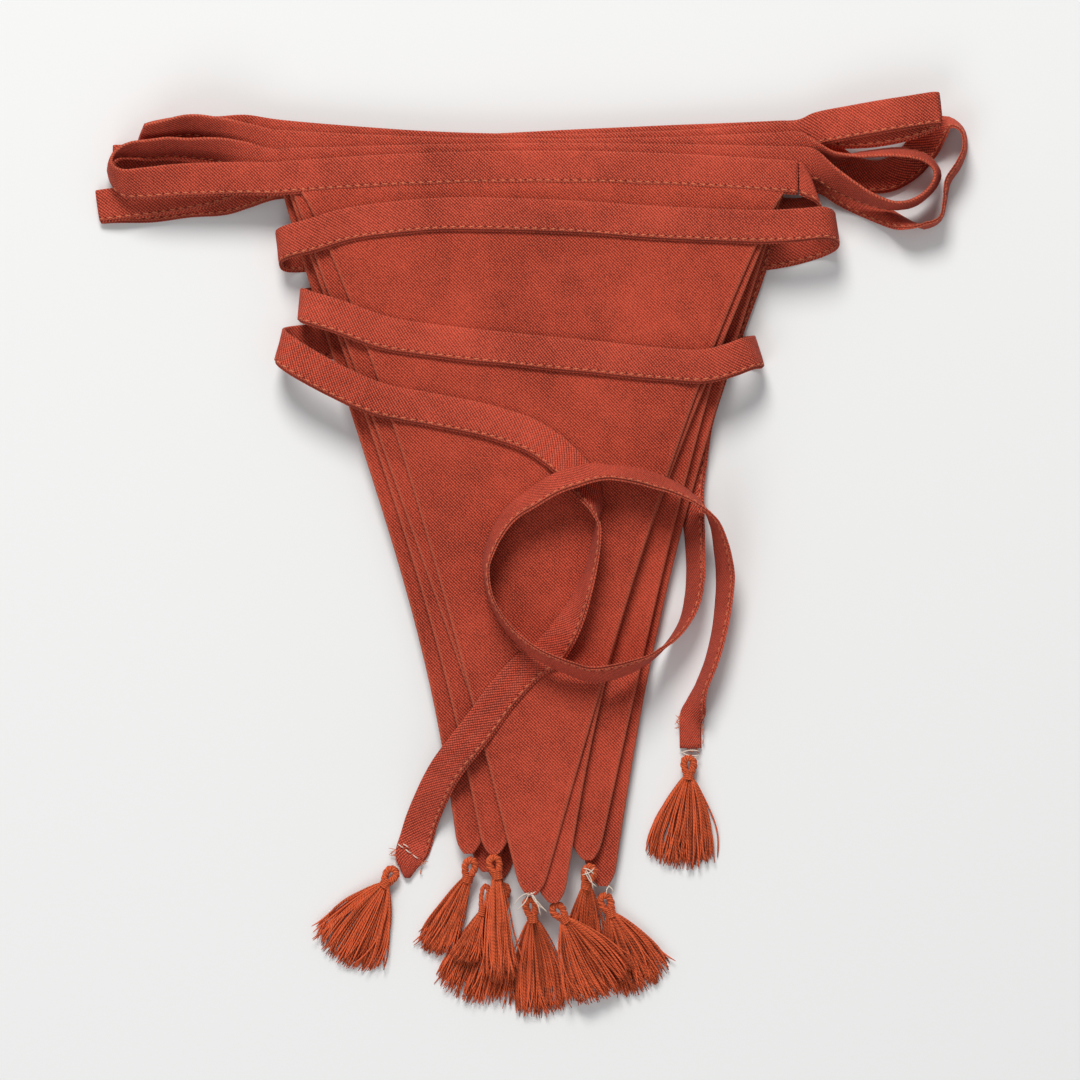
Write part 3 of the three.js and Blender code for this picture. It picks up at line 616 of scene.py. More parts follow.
class Finish:
    """A material built from nodes"""

    def __init__(self, name, roughness, sheen=0.0):
        self.material = bpy.data.materials.new(name)
        self.material.use_nodes = True
        self.tree = self.material.node_tree
        self.shader = self.tree.nodes["Principled BSDF"]
        self.shader.inputs["Roughness"].default_value = roughness
        self.shader.inputs["Specular IOR Level"].default_value = DULL
        self.shader.inputs["Sheen Weight"].default_value = sheen
        self.shader.inputs["Sheen Roughness"].default_value = 0.5

    def node(self, kind, settings=None, *values, output=0, **named):
        """Adds a node with its settings and its sockets' values or links, and gives an output"""
        made = self.tree.nodes.new(kind)
        for key, value in (settings or {}).items():
            setattr(made, key, value)
        sockets = list(zip([s for s in made.inputs if s.enabled], values))
        sockets += [(made.inputs[name.replace("_", " ")], value) for name, value in named.items()]
        for socket, value in sockets:
            if isinstance(value, Value):
                self.tree.links.new(value.socket, socket)
            else:
                socket.default_value = value
        if isinstance(output, str):
            return Value(self, made.outputs[output])
        return Value(self, [s for s in made.outputs if s.enabled][output])

    def mix(self, share, first, second):
        """Colour between two colours"""
        return self.node("ShaderNodeMix", {"data_type": "RGBA"}, share, first, second)

    def noise(self, place, scale, detail=2.0):
        """Unevenness from 0 to 1"""
        return self.node("ShaderNodeTexNoise", {}, Vector=place, Scale=scale, Detail=detail)

    def places(self):
        """Places across and along the weave, together and apart, and places in the object"""
        weave = self.node("ShaderNodeUVMap", {"uv_map": "UVMap"})
        body = self.node("ShaderNodeTexCoord", {}, output="Object")
        across = self.node("ShaderNodeSeparateXYZ", {}, weave, output=0)
        along = self.node("ShaderNodeSeparateXYZ", {}, weave, output=1)
        return weave, across, along, body

    def own(self, name):
        """A number that the mesh gives to each point"""
        return self.node("ShaderNodeAttribute", {"attribute_name": name}, output="Fac")

    def feed(self, name, value):
        self.tree.links.new(value.socket, self.shader.inputs[name])

    def bump(self, height, depth, strength):
        settings = {"Strength": strength, "Distance": depth, "Height": height}
        self.feed("Normal", self.node("ShaderNodeBump", {}, **settings))


def shade(colour, factor):
    """A colour made darker or lighter, with the fourth number that a socket takes"""
    return tuple(min(c * factor, 1.0) for c in colour[:3]) + (1.0,)


def cloth_finish(name, colour, edge_colour, settings, stitched):
    """Cotton twill: slanting lines of the weave, slubs, worn rims with a painted highlight, cloudy
    tone that is partly painted shade, and the needle's holes darkened with painted shade
    """
    finish = Finish(name, 0.92, sheen=0.02)
    place, across, along, body = finish.places()
    wobble = finish.noise(place, WOBBLE_SCALE, 3.0) - 0.5
    pitch = settings.twill_pitch
    wale = ((across + along) * (DIAGONAL * 2 * math.pi / pitch) + wobble * 5.0).wave()
    weft_pitch = pitch * WEFT_PITCH_SHARE
    weft = ((across - along) * (DIAGONAL * 2 * math.pi / weft_pitch) + wobble * 6.0).wave()
    slub = finish.noise(place, SLUB_SCALE, 3.0)
    # The cloudy tone is partly the cloth's own uneven colour and partly painted soft shade, as of
    # creases
    cloudy = finish.noise(body, CLOUD_SCALE, 4.0)
    blotch = finish.noise(body, BLOTCH_SCALE, 3.0)
    weave = wale * (weft * 0.5 + 0.22) + slub * 0.75
    tone = (weave * 0.85 + cloudy * 0.34 + blotch * 0.16).within(0.44, 1.09)
    mixed = finish.mix(tone, *(shade(colour, factor) for factor in TWILL_SHADES))
    # Rims lighten towards the rim colour, partly as wear and partly as a painted highlight on the
    # rounded edges
    wear_and_highlight = (finish.own("rim") * (slub * 0.9 + 0.45)).within(0.3, 1.15) * RIM_LIGHTENING
    mixed = finish.mix(wear_and_highlight, mixed, shade(edge_colour, 1.0))
    height = weave + finish.noise(body, CREASE_SCALE, 1.0) * CREASE_DEPTH
    if stitched:
        # Each needle's hole is darkened as painted shade inside it, and sunk a little by the bump
        hole_across = (across + STITCH_LINE * MM) / HOLE_ACROSS
        stitch = (along / settings.stitch_pitch + 0.5).fraction() - 0.5
        hole_along = stitch * (settings.stitch_pitch / HOLE_ALONG)
        hole = 1.0 - (hole_across * hole_across + hole_along * hole_along).within(0.25, 1.3)
        mixed = finish.mix(hole * 0.7, mixed, shade(colour, HOLE_SHADE))
        height = height - hole * 1.2
    finish.feed("Base Color", mixed)
    finish.feed("Roughness", weave * 0.12 + 0.82)
    finish.bump(height, TWILL_DEPTH, 0.7)
    return finish.material


def yarn_finish(name, colour, twist_pitch, contrast=1.0):
    """Twisted yarn: slanting turns of the ply along each thread, with painted shade in the folds
    and a painted highlight on the crests
    """
    finish = Finish(name, 0.8, sheen=0.03)
    _, across, along, body = finish.places()
    fuzz = finish.noise(body, FUZZ_SCALE, 3.0)
    patch = finish.noise(body, PATCH_SCALE, 3.0)
    own = finish.own("rim")
    slant = (along + across * 1.1) * (2 * math.pi / twist_pitch)
    # The turns paint shade into the folds and a highlight onto the crests; fuzz, patches and each
    # thread's own tone are the yarn's own unevenness
    turns = (slant + own * 60.0 + fuzz * 1.5).wave()
    tone = (turns * 0.45 + fuzz * 0.3 + patch * 0.3 + own * 0.45).within(0.3, 1.15)
    spread = YARN_SHADE_SPREAD * contrast
    shades = shade(colour, 1 - spread), shade(colour, 1 + spread)
    finish.feed("Base Color", finish.mix(tone, *shades))
    finish.feed("Roughness", turns * 0.1 + 0.75)
    finish.bump(turns * 0.7 + fuzz * 0.5, YARN_DEPTH, 0.6)
    return finish.material


def made_once(name, make, *values):
    """The finish of that name, made where there is none yet"""
    return bpy.data.materials.get(name) or make(name, *values)


def cloth(settings):
    colours = settings.cloth_colour, settings.rim_colour
    return made_once("cotton_twill", cloth_finish, *colours, settings, False)


def tape_cloth(settings):
    colours = settings.tape_colour, settings.rim_colour
    return made_once("tape_twill", cloth_finish, *colours, settings, True)


def yarn(settings):
    return made_once("tassel_yarn", yarn_finish, settings.yarn_colour, YARN_TWIST)


def sewing_thread(settings):
    return made_once("sewing_thread", yarn_finish, settings.stitch_colour, THREAD_TWIST, 0.5)


def white_thread(settings):
    return made_once("white_thread", yarn_finish, settings.white_colour, THREAD_TWIST, 0.3)


# The sizes and colours that a user would change


class BuntingSettings(bpy.types.PropertyGroup):
    """Sizes and colours of the bunting"""

    twill_pitch: bpy.props.FloatProperty(
        name="Twill Pitch",
        description="Distance between the slanting lines of the weave",
        default=0.00078,
        min=0.0002,
        unit="LENGTH",
        precision=5,
    )
    stitch_pitch: bpy.props.FloatProperty(
        name="Stitch Pitch",
        description="Distance from one topstitch to the next",
        default=0.0029,
        min=0.001,
        unit="LENGTH",
        precision=4,
    )
    section_pitch: bpy.props.FloatProperty(
        name="Section Pitch",
        description="Distance between the sections of the tape's mesh",
        default=0.0014,
        min=0.001,
        unit="LENGTH",
        precision=4,
    )
    skirt_threads: bpy.props.IntProperty(
        name="Skirt Threads",
        description="Threads in the skirt of a tassel",
        default=140,
        min=20,
        max=260,
    )
    thread_radius: bpy.props.FloatProperty(
        name="Thread Radius",
        description="Radius of a thread in a tassel's skirt",
        default=0.00026,
        min=0.0001,
        unit="LENGTH",
        precision=5,
    )
    cloth_colour: bpy.props.FloatVectorProperty(
        name="Cloth",
        description="Colour of the flags",
        default=(0.335, 0.047, 0.025),
        size=3,
        subtype="COLOR",
    )
    tape_colour: bpy.props.FloatVectorProperty(
        name="Tape",
        description="Colour of the tape",
        default=(0.355, 0.052, 0.029),
        size=3,
        subtype="COLOR",
    )
    # The rims take this colour both as wear and as a painted highlight on their rounded edges
    rim_colour: bpy.props.FloatVectorProperty(
        name="Worn Rim",
        description="Colour of the cloth where an edge is worn",
        default=(0.52, 0.135, 0.075),
        size=3,
        subtype="COLOR",
    )
    yarn_colour: bpy.props.FloatVectorProperty(
        name="Yarn",
        description="Colour of the tassels",
        default=(0.52, 0.090, 0.031),
        size=3,
        subtype="COLOR",
    )
    stitch_colour: bpy.props.FloatVectorProperty(
        name="Topstitch",
        description="Colour of the topstitching",
        default=(0.62, 0.19, 0.095),
        size=3,
        subtype="COLOR",
    )
    white_colour: bpy.props.FloatVectorProperty(
        name="Tying Thread",
        description="Colour of the off-white thread at the tips",
        default=(0.72, 0.60, 0.50),
        size=3,
        subtype="COLOR",
    )


class BuntingStage(bpy.types.PropertyGroup):
    """Floor, camera and light"""

    floor_colour: bpy.props.FloatVectorProperty(
        name="Floor",
        description="Colour of the floor",
        default=(0.80, 0.805, 0.80),
        size=3,
        subtype="COLOR",
    )
    camera_height: bpy.props.FloatProperty(
        name="Camera Height",
        description="Height of the camera over the floor",
        default=1.9,
        min=0.5,
        unit="LENGTH",
    )
    window_power: bpy.props.FloatProperty(
        name="Window Power",
        description="Strength of the large soft light behind the heading",
        default=53.0,
        min=0.0,
        unit="POWER",
    )


# The flags

FLAG_SEED = 40
FLAG_ROWS = 72
TIP_ROWS = 6
FLAG_MIDDLE_COLUMNS = 20
# The cloth goes this far into the tape, and thins in its first rows there
TUCK = 0.9
HEAD_THINNING = (0.4, 0.75)
# The tip is rounded over this share of the length; half its width, and how far it stops short
TIP_ROUND = 0.026
TIP_CLOSE = 0.93
TIP_POWER = 2.1
TIP_HALF = 3.3
TIP_SHORT = 1.2
# The last rows of the rounded tip are lightened towards the rim colour at least this much
TIP_LIGHTENING = 0.6
# Where half the flag is narrower than this, its seams are squeezed
SEAM_ROOM = 4.4
# The lowest that any of the cloth lies
FLAG_FLOOR = 0.01
EDGE_ROLL = [
    # from the edge, half thickness, worn rim with its painted highlight
    (0.0, 0.02, 1.0),
    (0.12, 0.36, 1.0),
    (0.45, 0.60, 0.85),
    (1.0, 0.74, 0.5),
    (1.6, 0.64, 0.15),
    (2.0, 0.40, 0.0),
    (2.6, 0.52, 0.0),
    (3.6, 0.60, 0.0),
]
WAVES = 5
WAVE_WIDTHS = (14, 40)
WAVE_SLANT = 0.6
WAVE_HEIGHT = 0.5
WAVE_BASE = 0.8
# Waves fade over this share of the length from the heading and this far from a seam
WAVE_HEAD_SHARE = 1 / 6
WAVE_EDGE = 8
ROUND_TURN = 6.3
# The weave runs this many degrees out of true, at most
CUT_TURN = 3


def flag_edges(flag, v):
    """The two long edges at a share v of the way from the heading to the rounded tip"""
    left, right, tip_x, _, hollow_left, hollow_right, low = flag[5:]
    hollow = math.sin(math.pi * v**low)
    left_x = left + (tip_x - TIP_HALF - left) * v + hollow_left * hollow
    right_x = right + (tip_x + TIP_HALF - right) * v - hollow_right * hollow
    ahead = max(0.0, (v - 1 + TIP_ROUND) / TIP_ROUND)
    middle = (left_x + right_x) / 2
    half = (right_x - left_x) / 2 * (1 - (TIP_CLOSE * ahead) ** TIP_POWER) ** (1 / TIP_POWER)
    return middle - half, middle + half


def seam_to_seam(left_x, right_x):
    """Points across the upper side of a flag: x, half thickness and worn rim"""
    squeeze = min(1.0, (right_x - left_x) / 2 / SEAM_ROOM)
    seam = [(distance * squeeze, half, wear_and_highlight) for distance, half, wear_and_highlight in EDGE_ROLL]
    width = seam[-1][0]
    inner = np.linspace(left_x + width, right_x - width, FLAG_MIDDLE_COLUMNS + 2)[1:-1]
    return [
        *((left_x + distance, half, wear_and_highlight) for distance, half, wear_and_highlight in seam),
        *((x, FLAG_THICK / 2, 0.0) for x in inner),
        *((right_x - distance, half, wear_and_highlight) for distance, half, wear_and_highlight in reversed(seam)),
    ]


def flag_mesh(flag, seed):
    """One flag, its two layers turned so that a rolled seam runs down each long side"""
    layer, left, right, tip_y = flag[1], flag[5], flag[6], flag[8]
    wander = random.Random(seed)
    waves = [
        (
            wander.uniform(*WAVE_WIDTHS),
            wander.uniform(-WAVE_SLANT, WAVE_SLANT),
            wander.uniform(0, ROUND_TURN),
        )
        for _ in range(WAVES)
    ]
    turn = math.radians(wander.uniform(-CUT_TURN, CUT_TURN))
    long_rows = np.linspace(0, 1 - TIP_ROUND, FLAG_ROWS)
    tip_rows = 1 - TIP_ROUND * (1 - np.sin(np.linspace(0, math.pi / 2, TIP_ROWS + 1)[1:]))
    rings, marks, rims = [], [], []
    for row, v in enumerate([*long_rows, *tip_rows]):
        left_x, right_x = flag_edges(flag, v)
        over = seam_to_seam(left_x, right_x)
        under = over[-2:0:-1]
        thin = HEAD_THINNING[row] if row < len(HEAD_THINNING) else 1.0
        least_lightening = TIP_LIGHTENING if v > 1 - TIP_ROUND / 3 else 0
        ring, mark, rim = [], [], []
        for k, (x, half, wear_and_highlight) in enumerate(over + under):
            share = (x - left_x) / (right_x - left_x)
            head_y = heading_y(flag, left + (right - left) * share) - TAPE_WIDTH / 2 + TUCK
            y = head_y + (tip_y - TIP_SHORT - head_y) * v
            z = layer_floor(layer, x, y) + FLAG_THICK / 2
            side = 1 if k < len(over) else -1
            if layer == LAYERS and side > 0:
                wave = sum(math.sin(x / w + y / w * slant + p) for w, slant, p in waves) / WAVES
                fade = min(1.0, v / WAVE_HEAD_SHARE)
                fade *= min(1.0, min(x - left_x, right_x - x) / WAVE_EDGE)
                z += WAVE_HEIGHT * (wave + WAVE_BASE) * fade
            ring.append((x, y, max(z + side * half * thin, FLAG_FLOOR)))
            across = x * math.cos(turn) + y * math.sin(turn)
            mark.append((across, y * math.cos(turn) - x * math.sin(turn)))
            rim.append(max(wear_and_highlight, least_lightening))
        rings.append(ring)
        marks.append(mark + mark[:1])
        rims.append(rim)
    bm = bmesh.new()
    lay_tubes(bm, [rings], np.array(marks), rims)
    return bm


class MakeFlags(bpy.types.Operator):
    """Sew the eight long flags, one on another"""

    bl_idname = "bunting.make_flags"
    bl_label = "Make Flags"

    def execute(self, context):
        finish = cloth(context.scene.bunting)
        for k, flag in enumerate(FLAGS):
            name, left, right, tip_x, tip_y = flag[0], *flag[5:9]
            mesh = flag_mesh(flag, FLAG_SEED + k)
            piece = finish_piece(mesh, name + "_cloth", finish, [name])
            wide = (right - left) * MM
            long = (heading_y(flag, tip_x) - tip_y) * MM
            area = wide * long * 0.5
        return {"FINISHED"}


# The tape

TAPE_FLOOR = 0.02
TAPE_SEED = 7
STITCH_LINE = 4.15
STITCH_HEIGHT = 0.45
STITCH_SLANT = 0.14
STITCH_SIZE = (1.05, 0.19, 0.16)
TAPE_PROFILE = [
    # across towards the fold, towards the face, which lip it is on, worn rim with its painted
    # highlight
    (5.25, 0.0, 0, 0.9),
    (5.12, 0.36, 0, 0.7),
    (4.7, 0.56, 0, 0.25),
    (3.2, 0.6, 0, 0.0),
    (0.6, 0.6, 0, 0.0),
    (-2.4, 0.6, 0, 0.0),
    (-3.6, 0.56, 0, 0.0),
    (-4.15, 0.44, 0, 0.0),
    (-4.7, 0.5, 1, 0.35),
    (-5.1, 0.44, 1, 0.9),
    (-5.2, 0.26, 1, 1.0),
    (-5.0, 0.09, 1, 0.3),
    (-4.3, 0.0, 0, 0.0),
    (-5.0, -0.09, -1, 0.3),
    (-5.2, -0.26, -1, 1.0),
    (-5.1, -0.44, -1, 0.9),
    (-4.7, -0.5, -1, 0.35),
    (-4.15, -0.44, 0, 0.0),
    (-3.6, -0.56, 0, 0.0),
    (-2.4, -0.6, 0, 0.0),
    (0.6, -0.6, 0, 0.0),
    (3.2, -0.6, 0, 0.0),
    (4.7, -0.56, 0, 0.25),
    (5.12, -0.36, 0, 0.7),
]
# The tape's face ripples in height, its folded edge in width, and its lips in how far they reach
RIPPLES = 6
RIPPLE_WIDTHS = (5, 24)
RIPPLE_HEIGHT = 0.1
RIPPLE_WIDTH = 0.12
LIP_RIPPLE = 0.25
LIP_SHOWN = 0.35


def tape_section(middle, over, face, size, ripples):
    """Points round one section of the tape, whose lower lip shows a little past the upper one"""
    wide, thick = size[0] / TAPE_WIDTH, size[1] / TAPE_THICK
    facing = max(-1.0, min(1.0, 2.5 * face[2]))
    ring = []
    for across, up, lip, _ in TAPE_PROFILE:
        reach = lip and LIP_RIPPLE * ripples[1] - lip * facing * LIP_SHOWN
        place = across - reach + RIPPLE_WIDTH * ripples[0] * abs(across) / 5
        lift = RIPPLE_HEIGHT * ripples[1] * math.cos(across / 2.2)
        point = middle + over * (place * wide) + face * (up * thick + lift)
        point[2] = max(point[2], TAPE_FLOOR)
        ring.append(point)
    return ring


def tape_mesh(course, seed):
    """The folded binding along its course, open at the stitched edge"""
    wander = random.Random(seed)
    waves = [
        (wander.uniform(*RIPPLE_WIDTHS), wander.uniform(0, ROUND_TURN)) for _ in range(RIPPLES)
    ]
    rows = zip(*(course[name] for name in ("at", "middle", "across", "face", "size")))
    rings, marks = [], []
    for at, middle, over, face, size in rows:
        ripples = [
            sum(math.sin(at / w + p) for w, p in waves) / RIPPLES,
            sum(math.sin(at / w * 1.7 + p * 2) for w, p in waves) / RIPPLES,
        ]
        rings.append(tape_section(middle, over, face, size, ripples))
        half = len(TAPE_PROFILE) // 2
        mark = [(row[0], at if k <= half else -at) for k, row in enumerate(TAPE_PROFILE)]
        marks.append([*mark, (mark[0][0], -at)])
    rims = [[row[3] for row in TAPE_PROFILE]] * len(rings)
    bm = bmesh.new()
    lay_tubes(bm, [rings], np.array(marks), rims)
    return bm


def stitch_mesh(course, pitch):
    """The topstitching on both faces of the tape, a bead of thread for each stitch"""
    places = []
    for at in np.arange(pitch / 2, course["at"][-1] - 1.0, pitch):
        middle, along, over, face = (
            Vector([np.interp(at, course["at"], column) for column in course[name].T])
            for name in ("middle", "along", "across", "face")
        )
        along = (along + over * STITCH_SLANT).normalized()
        face = (face - along * face.dot(along)).normalized()
        turn = Matrix((along, face.cross(along), face)).transposed().to_4x4()
        for way in (1, -1):
            spot = (middle - over * STITCH_LINE + face * (STITCH_HEIGHT * way)) * MM
            places.append(Matrix.Translation(spot) @ turn)
    bm = bmesh.new()
    uv, rim = own_layers(bm)
    size = Matrix.Diagonal((*(side * MM for side in STITCH_SIZE), 1.0))
    bead = bmesh.ops.create_uvsphere(bm, u_segments=6, v_segments=4, radius=1.0, matrix=size)
    for vertex in bead["verts"]:
        vertex[rim] = 0.5
        for loop in vertex.link_loops:
            loop[uv].uv = (vertex.co.y, vertex.co.x)
    for place, verts in zip(places, repeat(bm, bead["verts"], len(places))):
        for vertex in verts:
            vertex.co = place @ vertex.co
    return bm


class MakeTape(bpy.types.Operator):
    """Lay the stitched tape along the flags' tops, through its loops and on as the two ties"""

    bl_idname = "bunting.make_tape"
    bl_label = "Make Tape"

    def execute(self, context):
        settings = context.scene.bunting
        pitch = settings.stitch_pitch / MM
        strips = [
            ("heading_tape", heading_route(), ["floor"]),
            ("tie_long", LONG_TIE, ["flag_1_cloth", "floor"]),
            ("tie_short", SHORT_TIE, ["flag_1_cloth", "floor"]),
        ]
        for k, (name, route, rests) in enumerate(strips):
            course = smooth_route(route, settings.section_pitch / MM)
            strip, thread = tape_mesh(course, TAPE_SEED + k), stitch_mesh(course, pitch)
            piece = finish_piece(strip, name + "_cloth", tape_cloth(settings), [name])
            sewn = finish_piece(thread, name + "_topstitching", sewing_thread(settings))
            flat = (TAPE_WIDTH * MM, course["at"][-1] * MM)
        return {"FINISHED"}


# The tassels. A girth of 1 is that of the full-sized ones.

TASSEL_SEED = 300
SKIRT_POINTS = 12
SKIRT_ROOT = 2.4
SKIRT_DEPTH = 2.3
LYING_CLEAR = 1.3
SKIRT_SPREAD = 0.96
SHORTER_AT_EDGE = 0.1
REACHES = (0.94, 1.04)
DROP_SHARE = 0.667
BELL_POWER = 1.8
SWING = 0.9
CURL = 1.1
TIGHTNESS = (0.7, 1.6)
SIDE_WAVE = 0.4
SIDE_WAVE_RATE = 6
UP_WAVE = 0.3
UP_WAVE_RATE = 8
STRAY_SHARE = 0.06
STRAY_TURN = 0.05
LAID_TURN = 0.03
NECK_TURNS = 5
NECK_STEPS = 11
NECK_PITCH = 0.62
NECK_RADIUS = 1.62
NECK_YARN = 0.3
HEAD_POINTS = 34
HEAD_PAST_NECK = 2.1
EYE_HALF = 1.55
EYE_TAPER = 0.35
EYE_FLATNESS = 0.8
PLY_RADIUS = 0.62
PLY_TWIST = 0.62
PLIES = 3


def skirt(bm, wander, tassel, count, radius):
    """The threads that fan out from the bound neck and come down to where they lie"""
    _, nx, ny, nz, _, _, _, aim, spread, length, lying, _, girth = tassel
    neck = np.array([nx, ny, nz])
    middle_aim = math.radians(aim)
    forward = np.array([math.cos(middle_aim), math.sin(middle_aim), 0])
    side = np.array([-forward[1], forward[0], 0])
    root_size = SKIRT_ROOT * girth
    paths = []
    for k in range(count):
        place = (k + wander.random()) / count - 0.5
        level = wander.random()
        stray = wander.gauss(0, 1) * (STRAY_TURN if wander.random() < STRAY_SHARE else LAID_TURN)
        out = place * math.radians(spread) * SKIRT_SPREAD + stray
        reach = length * (1 - SHORTER_AT_EDGE * (2 * place) ** 2) * wander.uniform(*REACHES)
        turn = middle_aim + out
        beside = np.array([-math.sin(turn), math.cos(turn), 0])
        root = neck + side * (place * root_size) + UP * ((level - 0.5) * root_size)
        lie = lying + radius * LYING_CLEAR + level * SKIRT_DEPTH
        swing, phase = wander.gauss(0, SWING), wander.uniform(0, ROUND_TURN)
        rate, curl = SIDE_WAVE_RATE * wander.uniform(*TIGHTNESS), wander.gauss(0, CURL)
        path = []
        for t in np.linspace(0, 1, SKIRT_POINTS):
            drop = max(0.0, 1 - t / DROP_SHARE) ** 2
            wave = swing * t * t + SIDE_WAVE * t * math.sin(rate * t + phase) + curl * t**5
            bell = 1 - (1 - t) ** BELL_POWER
            fan = math.cos(out) * t * forward + math.sin(out) * bell * side
            point = root + reach * fan + beside * wave
            rise = UP_WAVE * t * math.sin(UP_WAVE_RATE * t + phase)
            point[2] = lie + (root[2] - lie) * drop + rise
            path.append(point)
        paths.append(path)
    lay_threads(bm, paths, radius, sides=4, tones=[wander.random() for _ in paths])


def bound_neck(bm, neck, axis, girth):
    """Yarn wound round the neck"""
    side = unit(np.cross(axis, UP))
    over = np.cross(side, axis)
    path = []
    for k in range(NECK_TURNS * NECK_STEPS + 1):
        turn = k / NECK_STEPS * 2 * math.pi
        along = (k / NECK_STEPS - NECK_TURNS / 2) * NECK_PITCH
        out = math.cos(turn) * side + math.sin(turn) * over
        path.append(neck + axis * along + NECK_RADIUS * girth * out)
    lay_threads(bm, [path], NECK_YARN, sides=5)


def looped_head(bm, neck, head, girth):
    """The yarn's loop above the neck, plies twisted together round an eye"""
    axis = unit(head - neck)
    side = unit(np.cross(axis, UP))
    reach = np.linalg.norm(head - neck) + HEAD_PAST_NECK
    middle = []
    for t in np.linspace(0, 1, HEAD_POINTS):
        turn = math.pi * (2 * t - 1)
        out = math.sin(turn) * (EYE_HALF + EYE_TAPER * math.cos(turn)) * girth
        along = reach * (0.5 + 0.5 * math.cos(turn)) ** EYE_FLATNESS
        middle.append(neck + axis * along + side * out)
    aheads = unit_rows(np.gradient(np.array(middle), axis=0))
    paths = []
    for ply in range(PLIES):
        path = []
        for k, (point, ahead) in enumerate(zip(middle, aheads)):
            turn = k * PLY_TWIST + ply * 2 * math.pi / PLIES
            beside = unit(np.cross(ahead, UP))
            out = math.cos(turn) * beside + math.sin(turn) * np.cross(beside, ahead)
            path.append(point + PLY_RADIUS * girth * out)
        paths.append(path)
    lay_threads(bm, paths, PLY_RADIUS * girth, sides=6, end_share=0.8)


class MakeTassels(bpy.types.Operator):
    """Tie the ten tassels, each with its looped head, bound neck and skirt of threads"""

    bl_idname = "bunting.make_tassels"
    bl_label = "Make Tassels"

    def execute(self, context):
        settings = context.scene.bunting
        for k, tassel in enumerate(TASSELS):
            name, girth = tassel[0], tassel[-1]
            neck, head = np.array(tassel[1:4]), np.array(tassel[4:7])
            threads = int(settings.skirt_threads * girth)
            bm = bmesh.new()
            skirt(bm, random.Random(TASSEL_SEED + k), tassel, threads, settings.thread_radius / MM)
            bound_neck(bm, neck, unit(neck - head), girth)
            looped_head(bm, neck, head, girth)
            finish_piece(bm, name + "_yarn", yarn(settings), [name])
        return {"FINISHED"}


# The off-white thread

WHITE_RADIUS = 0.19
WHITE_POINTS = 8
WHITE_RISE = 0.5
WHITE_ENDS = [
    # piece, start x, y, z, end x, y, z, sag to the side
    ("tip_1", -0.3, -107.2, 13.6, -5.0, -111.2, 12.6, 0.8),
    ("tip_1", -0.3, -107.4, 13.6, -4.2, -112.8, 12.2, -0.6),
    ("tip_1", 0.2, -107.2, 13.6, 4.6, -112.6, 12.4, 0.7),
    ("tip_1", 0.3, -107.2, 13.7, 3.4, -114.6, 12.2, -0.5),
    ("tip_1", 0.3, -107.0, 13.7, 5.6, -113.6, 12.2, 0.3),
    ("tip_1", -1.6, -107.6, 13.0, 1.8, -106.8, 13.7, 0.5),
    ("tip_4", 17.6, -100.4, 10.6, 21.4, -105.6, 9.6, 0.6),
    ("tip_4", 17.8, -100.0, 10.8, 20.2, -106.4, 9.4, -0.5),
    ("tip_4", 16.6, -101.6, 10.4, 20.6, -99.4, 10.6, 0.6),
    ("tip_4", 17.0, -99.6, 10.6, 20.4, -101.6, 10.6, -0.6),
    ("tip_6", 25.4, -105.4, 5.6, 24.6, -108.2, 5.6, 0.4),
    ("tip_6", 25.0, -105.4, 5.6, 26.8, -107.6, 5.4, -0.3),
    ("tie_short_end", 48.2, -62.4, 2.8, 54.6, -63.6, 2.8, 0.8),
    ("tie_short_end", 48.0, -63.2, 2.8, 54.4, -62.4, 2.9, -0.7),
    ("tie_short_end", 48.4, -63.8, 2.6, 54.6, -64.2, 2.6, 0.5),
    ("tie_long_end", -42.4, -92.2, 2.3, -40.6, -93.5, 2.3, 0.1),
    ("tie_long_end", -40.0, -93.9, 2.3, -38.2, -95.2, 2.3, 0.1),
    ("tie_long_end", -37.7, -95.6, 2.3, -35.9, -96.9, 2.3, 0.1),
    ("tie_long_end", -40.8, -92.2, 2.3, -39.0, -93.4, 2.3, -0.1),
    ("tie_long_end", -43.6, -98.0, 3.4, -41.8, -100.0, 3.8, 0.4),
]


class MakeWhiteThreads(bpy.types.Operator):
    """Tie the off-white threads that hold the tassels to the tips and to the ties' ends"""

    bl_idname = "bunting.make_white_threads"
    bl_label = "Make White Threads"

    def execute(self, context):
        settings = context.scene.bunting
        for knot in sorted({row[0] for row in WHITE_ENDS}):
            paths = []
            for _, *numbers in (row for row in WHITE_ENDS if row[0] == knot):
                start, end, sag = np.array(numbers[:3]), np.array(numbers[3:6]), numbers[6]
                bow = unit(np.cross(end - start, UP)) * sag + UP * WHITE_RISE
                path = []
                for t in np.linspace(0, 1, WHITE_POINTS):
                    path.append(start + (end - start) * t + bow * math.sin(math.pi * t))
                paths.append(path)
            bm = bmesh.new()
            lay_threads(bm, paths, WHITE_RADIUS, sides=5)
            finish_piece(bm, knot + "_thread", white_thread(settings))
        return {"FINISHED"}


# The frayed ends

FRAY_SEED = 91
FRAY_RADIUS = 0.11
FRAY_POINTS = 5
FRAY_FALL = 0.2
FRAY_TURN = 0.35
FRAY_REACHES = (0.5, 1.2)
FRAY_CURL = 0.5
FRAYS = [
    # piece, middle x, y, z, aim, width, how many, length
    ("tie_long_fray", -42.2, -95.2, 1.6, 215, 4.5, 16, 2.6),
    ("tie_long_fray", -35.0, -98.0, 1.6, 300, 3.0, 8, 1.4),
    ("tie_short_fray", 48.4, -53.0, 2.0, 175, 4.0, 16, 1.8),
    ("tie_short_fray", 54.6, -54.6, 2.0, 20, 4.0, 10, 1.2),
    ("tie_short_fray", 51.5, -61.4, 2.2, 268, 5.0, 14, 1.6),
]


